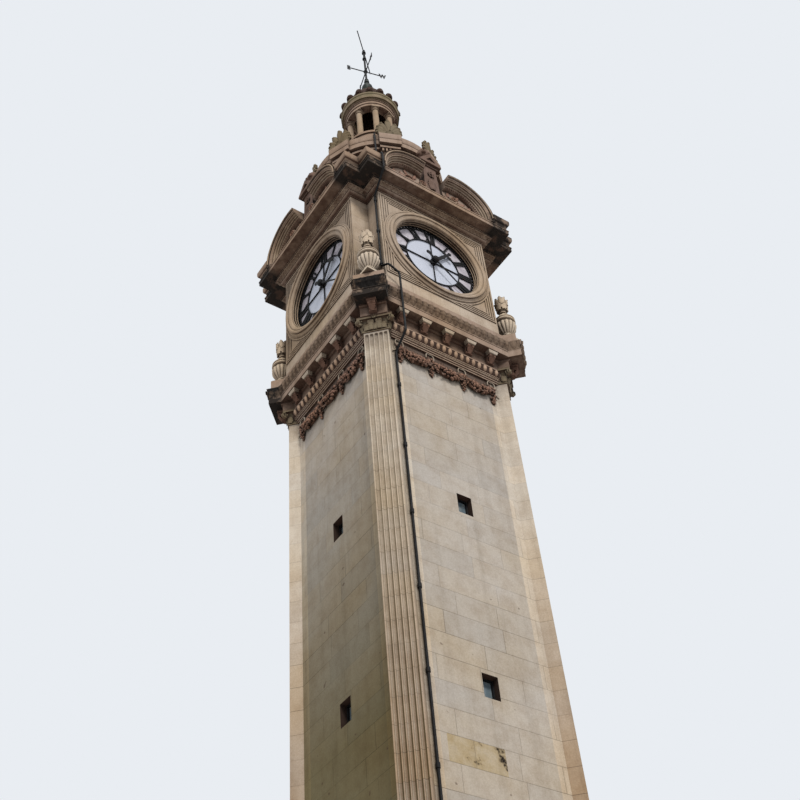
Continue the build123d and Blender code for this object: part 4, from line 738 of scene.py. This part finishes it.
for x, z, slope, size in tympanumLook["sprigs"]:
    carving.append(moved(vineLeaf, at(x, face, z) @ lean(slope) @ Matrix.Scale(size, 4)))
archLook = {"centre": (0.444, 18.276), "stopX": 0.245, "outer": 0.616, "inner": 0.503, "near": -1.686, "deep": -1.512,
            "beads": 5, "eggRadius": 0.536, "eggFirst": -12, "eggStep": 4.6}
archX, archZ = archLook["centre"]
archEgg = moved(berry(0.019, 1.25), Matrix.Diagonal((1, 1.1, 1, 1)))
for index in range(31):
    bend = math.radians(archLook["eggFirst"] + index * archLook["eggStep"])
    spotX = archX + archLook["eggRadius"] * math.cos(bend)
    if spotX > 0.25 and bend > 0:
        spot = at(spotX, face - 0.062, archZ + archLook["eggRadius"] * math.sin(bend))
        carving.append(moved(archEgg, spot @ lean(90 - math.degrees(bend))))
carving.append(moved(spiral(0.066, 1.8, 0.010), at(0.314, -1.684, 18.294)))
halfCarving = joined(carving)
addPiece("tympanumCarving", joined(roundTower([halfCarving, moved(halfCarving, mirror)])), stones["carvedLimestone"])

# Arch mouldings: even round steps from the pediment's edge down to its carved field
outer, inner, near, deep = (archLook[key] for key in ("outer", "inner", "near", "deep"))
archProfile = [(outer, deep), (outer, near)]
for index in range(archLook["beads"]):
    low, high = index / archLook["beads"], (index + 1) / archLook["beads"]
    across, depth = outer - inner, deep - near
    for step in range(1, 5):
        swell = 0.011 * math.sin(math.pi * step / 4)
        share = low + (high - low) * step / 5
        archProfile.append((outer - across * share - swell * 0.6, near + depth * share - swell))
    archProfile.append((outer - across * high, near + depth * (high - 0.04)))
archProfile.append((inner, deep))
archShape = sweptArc(archProfile, archLook["centre"], archLook["stopX"])
edgeProfile = beadProfile(0.664, -1.729, 0.012) + [(0.652, -1.722), (0.676, -1.722)]
edgeBead = sweptArc(edgeProfile, archLook["centre"], archLook["stopX"])
archShapes = [archShape, edgeBead, moved(archShape, mirror), moved(edgeBead, mirror)]
addPiece("archMouldings", joined(roundTower(archShapes)), stones["mouldedLimestone"])

# Dial surround: fine beads on its face and down into the reveal, and a domed boss over each pair of arbors
surroundLook = {"faceBeads": ((0.862, -1.437), (0.928, -1.453), (0.985, -1.414)),
                "revealBeads": ((0.8, -1.392), (0.796, -1.352), (0.792, -1.312)),
                "thick": 0.009, "revealLip": 0.005, "revealBack": 0.018}
dialCentre = (0.0, opalLook["dialLevel"])
thick = surroundLook["thick"]
beadProfiles = [beadProfile(radius, y, thick, half=4, last=7) for radius, y in surroundLook["faceBeads"]]
for radius, y in surroundLook["revealBeads"]:
    back = radius + surroundLook["revealBack"]
    beadProfiles.append([(radius, y - thick), (radius - surroundLook["revealLip"], y), (radius, y + thick),
                         (back, y + thick), (back, y - thick)])
beadRings = [sweptArc(profile, dialCentre, steps=120) for profile in beadProfiles]
addPiece("surroundBeads", joined(roundTower(beadRings)), stones["mouldedLimestone"])
bossLook = {"profile": ((0.01, 0.0), (0.05, 0.001), (0.058, 0.008), (0.058, 0.02), (0.05, 0.026), (0.046, 0.034),
                        (0.034, 0.042), (0.016, 0.046), (0.004, 0.047)), "sink": 0.004}
bossShape = moved(lathed(bossLook["profile"], 32), Matrix.Rotation(math.radians(90), 4, "X"))
for side, angle in zip(("front", "right", "back", "left"), quarterTurns):
    handFront = max(abs(value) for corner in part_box("minute_hand_" + side) for value in (corner[0], corner[1])
                    if abs(abs(value) - 1.3) < 0.12)  # the side of the box that faces out, not its width
    boss = moved(bossShape, turn(angle) @ at(0, bossLook["sink"] - handFront, dialCentre[1]))
    addPiece("dialBoss_" + side, boss, paintedIron, body="minute_hand_" + side, angle=30)

# Pedestals in the gaps: a rosette on the face, a leaf in the gable, and a leafy knop
pedestalLook = {"face": -1.54, "gableFace": -1.553, "middle": -1.4355, "gable": (0.215, 0.27, 19.31, 38),
                "knopRings": ((19.64, 30, 0.062, 1.0), (19.5, 0, 0.045, 0.8))}
pedestalShapes = [moved(rosette, at(0, pedestalLook["face"], 18.98) @ Matrix.Scale(1.15, 4)),
                  moved(leafShape(0.11, 0.2, 0.02), at(0, pedestalLook["gableFace"], 19.3)),
                  moved(leafShape(0.16, 0.34, 0.02, lobes=6), at(0, pedestalLook["face"] - 0.002, 18.52))]
knopLeaf = leafShape(0.085, 0.17, 0.05, lobes=4)
for index in range(6):
    for level, first, out, size in pedestalLook["knopRings"]:
        spot = at(0, pedestalLook["middle"], level) @ turn(60 * index + first) @ at(0, -out, 0)
        pedestalShapes.append(moved(knopLeaf, spot @ Matrix.Scale(size, 4)))
gableHalf, gableRise, gableFoot, gableSlope = pedestalLook["gable"]
for side in bothSides:
    for share in (0.15, 0.46, 0.78):
        spot = at(side * gableHalf * (1 - share), -1.5, gableFoot + gableRise * share)
        pedestalShapes.append(moved(knopLeaf, spot @ lean(side * gableSlope) @ Matrix.Scale(0.62, 4)))
addPiece("pedestalCarving", joined(roundTower(pedestalShapes)), stones["redLimestone"])
print("pediments carved")

# Urns: a tulip bowl of rounded petals on a short foot, a banded lid and a leafy bud on top
urnLook = {
    "centre": 1.8457, "stand": 15.56, "block": (0.155, 0.06), "blockTurn": 23, "petals": 14, "petalWidth": 0.033,
    "profile": ((0.125, 0.0), (0.125, 0.028), (0.105, 0.04), (0.104, 0.052), (0.07, 0.066), (0.052, 0.092),
                (0.06, 0.118), (0.082, 0.126), (0.082, 0.142), (0.068, 0.15), (0.088, 0.19), (0.118, 0.25),
                (0.136, 0.31), (0.142, 0.36), (0.139, 0.392), (0.132, 0.42), (0.134, 0.424), (0.158, 0.428),
                (0.17, 0.44), (0.172, 0.456), (0.164, 0.468), (0.158, 0.47), (0.158, 0.486), (0.166, 0.49),
                (0.168, 0.502), (0.16, 0.514), (0.144, 0.53), (0.128, 0.56), (0.1, 0.6), (0.062, 0.634), (0.04, 0.66),
                (0.036, 0.69), (0.056, 0.698), (0.058, 0.712), (0.04, 0.722), (0.04, 0.74), (0.07, 0.77),
                (0.094, 0.83), (0.1, 0.9), (0.088, 0.97), (0.06, 1.04), (0.03, 1.09), (0.006, 1.12)),
    "petalPath": ((0.068, 0.152), (0.09, 0.192), (0.118, 0.25), (0.136, 0.31), (0.143, 0.362), (0.138, 0.392)),
    "petalShare": (0.5, 0.66, 0.84, 1.0, 0.98, 0.55),
    "budRings": ((0.745, 0.075, 1.0), (0.86, 0.092, 0.9), (0.965, 0.07, 0.7)),
}
urnShapes = [lathed(urnLook["profile"], 44)]
petal = tube([(0, -radius, rise) for radius, rise in urnLook["petalPath"]],
             [urnLook["petalWidth"] * share for share in urnLook["petalShare"]], 10)
urnShapes += [moved(petal, turn(360 / urnLook["petals"] * index)) for index in range(urnLook["petals"])]
budLeaf = leafShape(0.095, 0.16, 0.02, lobes=3, rows=11, cols=5)
for index in range(6):
    for level, out, size in urnLook["budRings"]:
        urnShapes.append(moved(budLeaf, turn(60 * index + 400 * level) @ at(0, -out, level) @ Matrix.Scale(size, 4)))
blockHalf, blockRise = urnLook["block"]
blockPath = ((0.0, 1.0), (0.3, 1.0), (0.36, 0.96), (0.9, 0.95), (1.0, 0.9))  # shares of its height and width
block = tube([(0, 0, blockRise * (share - 1)) for share, wide in blockPath],
             [blockHalf * math.sqrt(2) * wide for share, wide in blockPath], 4)
urnShapes.append(moved(block, turn(urnLook["blockTurn"])))
urnShape = moved(joined(urnShapes), at(0, -urnLook["centre"], urnLook["stand"]))
urns = addPiece("leafyUrns", joined(roundTower([urnShape], cornerTurns)), stones["urnLimestone"], angle=60)
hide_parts("corner_urns")

# Buds round the lantern's rim, fuller than the plain knobs
budLook = {"count": 16, "reach": 0.548,
           "profile": ((0.05, 0.0), (0.052, 0.014), (0.032, 0.03), (0.036, 0.042), (0.066, 0.072), (0.075, 0.12),
                       (0.068, 0.17), (0.046, 0.212), (0.018, 0.24), (0.005, 0.246))}
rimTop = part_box("rim_knobs")[0][2]
rimLeaf = leafShape(0.075, 0.13, -0.012, lobes=2, rows=9, cols=5)
rimShapes = [lathed(budLook["profile"], 14)]
rimShapes += [moved(rimLeaf, turn(72 * index) @ at(0, -0.062, 0.052)) for index in range(5)]
rimBud = moved(joined(rimShapes), at(0, -budLook["reach"], rimTop))
rimTurns = [360 / budLook["count"] * (index + 0.5) for index in range(budLook["count"])]
rimBuds = addPiece("rimBuds", joined(roundTower([rimBud], rimTurns)), stones["blackenedLimestone"], angle=60)
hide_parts("rim_knobs")

# Shells over the attic: a fan of ribs with a berry at each tip, a scroll at each side and a leaf at the foot
shellLook = {"turns": [22.5 + 45 * index for index in range(8)], "face": 1.224, "level": 20.52, "ribs": 9, "spread": 78,
             "reach": 0.46, "tip": 0.04}
footCurl = {side: spiral(0.052, 1.6, 0.011, flip=side) for side in bothSides}
shellFoot = [moved(footCurl[side], at(side * 0.15, -shellLook["face"], 20.5)) for side in bothSides]
shellFoot.append(moved(leafShape(0.15, 0.11, 0.03, lobes=3), at(0, -1.24, 20.45)))
ribShares = np.linspace(0.12, 1, 7)
ribThick = 0.012 + 0.062 * ribShares * (1 - 0.3 * np.linspace(0, 1, 7) ** 6)
for index in range(shellLook["ribs"]):
    slope = -shellLook["spread"] + 2 * shellLook["spread"] / (shellLook["ribs"] - 1) * index
    reach = shellLook["reach"] - 0.25 * abs(math.sin(math.radians(slope)))
    rib = tube([(0, -0.02 * math.sin(3 * share), reach * share) for share in ribShares], ribThick, 10)
    shellFoot.append(moved(rib, at(0, -1.19, shellLook["level"]) @ lean(slope) @ Matrix.Diagonal((1, 0.55, 1, 1))))
    tip = at(0, -1.2, shellLook["level"]) @ lean(slope) @ at(0, 0, reach + 0.01)
    shellFoot.append(moved(berry(shellLook["tip"]), tip))
addPiece("shellCarving", joined(roundTower(shellFoot, [angle + 90 for angle in shellLook["turns"]])),
         stones["mossyLimestone"])
print("urns and shells carved")

# Compass letters at the ends of the arms
letterLook = {"height": 0.15, "narrow": 0.66, "thick": 0.009, "bolder": 0.011, "reach": 0.385, "level": 25.09,
              "headings": (("E", 165), ("W", -15), ("N", 255), ("S", 75))}
letterShapes = []
for letter, heading in letterLook["headings"]:
    curve = bpy.data.curves.new("letter" + letter, "FONT")
    curve.body = letter
    curve.size = letterLook["height"] / 0.7  # a capital is 0.7 of the font's size
    curve.extrude = letterLook["thick"] / 2
    curve.align_x = "CENTER"
    curve.offset = letterLook["bolder"]
    holder = bpy.data.objects.new("letter" + letter, curve)
    bpy.context.scene.collection.objects.link(holder)
    bpy.context.view_layer.update()
    mesh = bpy.data.meshes.new_from_object(holder.evaluated_get(bpy.context.evaluated_depsgraph_get()))
    bpy.data.objects.remove(holder)
    points = np.array([v.co for v in mesh.vertices])
    points[:, 0] *= letterLook["narrow"]
    points[:, 1] -= (points[:, 1].max() + points[:, 1].min()) / 2
    polygons = [list(p.vertices) for p in mesh.polygons]
    textTurn = heading if heading in (-15, 75) else heading - 180  # readable from the front or the right
    spot = Vector((math.cos(math.radians(heading)), math.sin(math.radians(heading)), 0)) * letterLook["reach"]
    stand = at(spot.x, spot.y, letterLook["level"]) @ turn(textTurn) @ Matrix.Rotation(math.pi / 2, 4, "X")
    letterShapes.append(moved((points, polygons), stand))
addPiece("compassLetters", joined(letterShapes), paintedIron, angle=30)

# Door furniture: a ring handle on a plate, and three strap hinges
fittingLook = {"face": -1.262, "ringX": 0.36, "ringLevel": 1.35, "ringRadius": 0.055, "plateHalf": 0.08,
               "straps": (0.55, 1.35, 2.15), "strapX": -0.27, "strapLength": 0.42, "strapHalf": 0.025}
ringX, ringLevel, ringRadius = (fittingLook[key] for key in ("ringX", "ringLevel", "ringRadius"))
ringPath = [(ringX + ringRadius * math.sin(bend), fittingLook["face"] - 0.02,
             ringLevel - ringRadius * (1 + math.cos(bend)) * 0.5) for bend in np.linspace(0, 6.0, 20)]
plate = carvedRun(0.1, ringLevel - fittingLook["plateHalf"], ringLevel + fittingLook["plateHalf"],
                  lambda z: -fittingLook["face"], lambda x, v: 0.004 + 0.004 * np.clip(1 - abs(x) / 0.05, 0, 1),
                  backing=0.001)
fittings = [tube(ringPath, 0.007), moved(plate, at(ringX, 0, 0))]
for level in fittingLook["straps"]:
    strap = carvedRun(fittingLook["strapLength"], level - fittingLook["strapHalf"], level + fittingLook["strapHalf"],
                      lambda z: -fittingLook["face"], lambda x, v: 0.006 + 0.002 * (np.cos(30 * x) > 0.9),
                      backing=0.001)
    fittings.append(moved(strap, at(fittingLook["strapX"], 0, 0)))
addPiece("doorFittings", joined(fittings), paintedIron)
print("letters and fittings made")

# Studio: pale floor, soft light and the camera at the photo's place
studioLook = {
    "ground": "#dedbd4", "groundHalf": 40, "groundRoughness": 0.9, "backdrop": "#e9edf2",
    "sky": "#f4f6ff", "ambient": 0.54,
    "keyStrength": 2.0, "keyAngle": 14, "keyTurn": -110, "keyRise": 40, "keyColour": (1.0, 0.97, 0.925),
}
floorHalf = studioLook["groundHalf"]
floorMesh = bpy.data.meshes.new("studioFloor")
floorMesh.from_pydata([(-floorHalf, -floorHalf, 0), (floorHalf, -floorHalf, 0), (floorHalf, floorHalf, 0),
                       (-floorHalf, floorHalf, 0)], [], [(0, 1, 2, 3)])
floor = bpy.data.objects.new("studioFloor", floorMesh)
bpy.context.scene.collection.objects.link(floor)
floorMaterial, tree = newMaterial("paleFloor")
finishSurface(tree, studioLook["ground"], [], None, {"Roughness": studioLook["groundRoughness"]})
floorMesh.materials.append(floorMaterial)

world = bpy.data.worlds.new("studioSky")
world.use_nodes = True
bpy.context.scene.world = world
tree = world.node_tree
tree.nodes.clear()
rays = addNode(tree, "LightPath").outputs
seen = addNode(tree, "Math", {0: rays["Is Camera Ray"], 1: rays["Is Glossy Ray"]}, operation="MAXIMUM")
seen = addNode(tree, "Math", {0: seen, 1: rays["Is Transmission Ray"]}, operation="MAXIMUM")
lightSky = addNode(tree, "Background", {"Color": linearColour(studioLook["sky"]), "Strength": studioLook["ambient"]})
shownSky = addNode(tree, "Background", {"Color": linearColour(studioLook["backdrop"]), "Strength": 1.0})
addNode(tree, "OutputWorld", {0: addNode(tree, "MixShader", {0: seen, 1: lightSky, 2: shownSky})})

keyLamp = bpy.data.objects.new("keyLamp", bpy.data.lights.new("keyLamp", "SUN"))
keyLamp.data.energy = studioLook["keyStrength"]
keyLamp.data.angle = math.radians(studioLook["keyAngle"])
keyLamp.data.color = studioLook["keyColour"]
keyRise, keyTurn = math.radians(studioLook["keyRise"]), math.radians(studioLook["keyTurn"])
toKey = Vector((math.cos(keyRise) * math.cos(keyTurn), math.cos(keyRise) * math.sin(keyTurn), math.sin(keyRise)))
keyLamp.rotation_euler = toKey.to_track_quat("Z", "Y").to_euler()
bpy.context.scene.collection.objects.link(keyLamp)

# The camera stands where the photo's own upright edges and cornice lines put it
cameraLook = {"lens": 53.18, "sensor": 36, "far": 200, "eye": (-7.723, -10.032, 1.597),
              "right": (0.8312, -0.5518, -0.0694), "up": (-0.3594, -0.6282, 0.6901), "view": (0.4244, 0.5486, 0.7204)}
cameraData = bpy.data.cameras.new("photoCamera")
cameraData.lens = cameraLook["lens"]
cameraData.sensor_width = cameraLook["sensor"]
cameraData.clip_end = cameraLook["far"]
camera = bpy.data.objects.new("photoCamera", cameraData)
cameraTurn = Matrix((cameraLook["right"], cameraLook["up"], -Vector(cameraLook["view"]))).transposed()
camera.matrix_world = at(*cameraLook["eye"]) @ cameraTurn.to_4x4()
bpy.context.scene.collection.objects.link(camera)
bpy.context.scene.camera = camera
bpy.context.scene.view_settings.view_transform = "Standard"
print("studio ready")
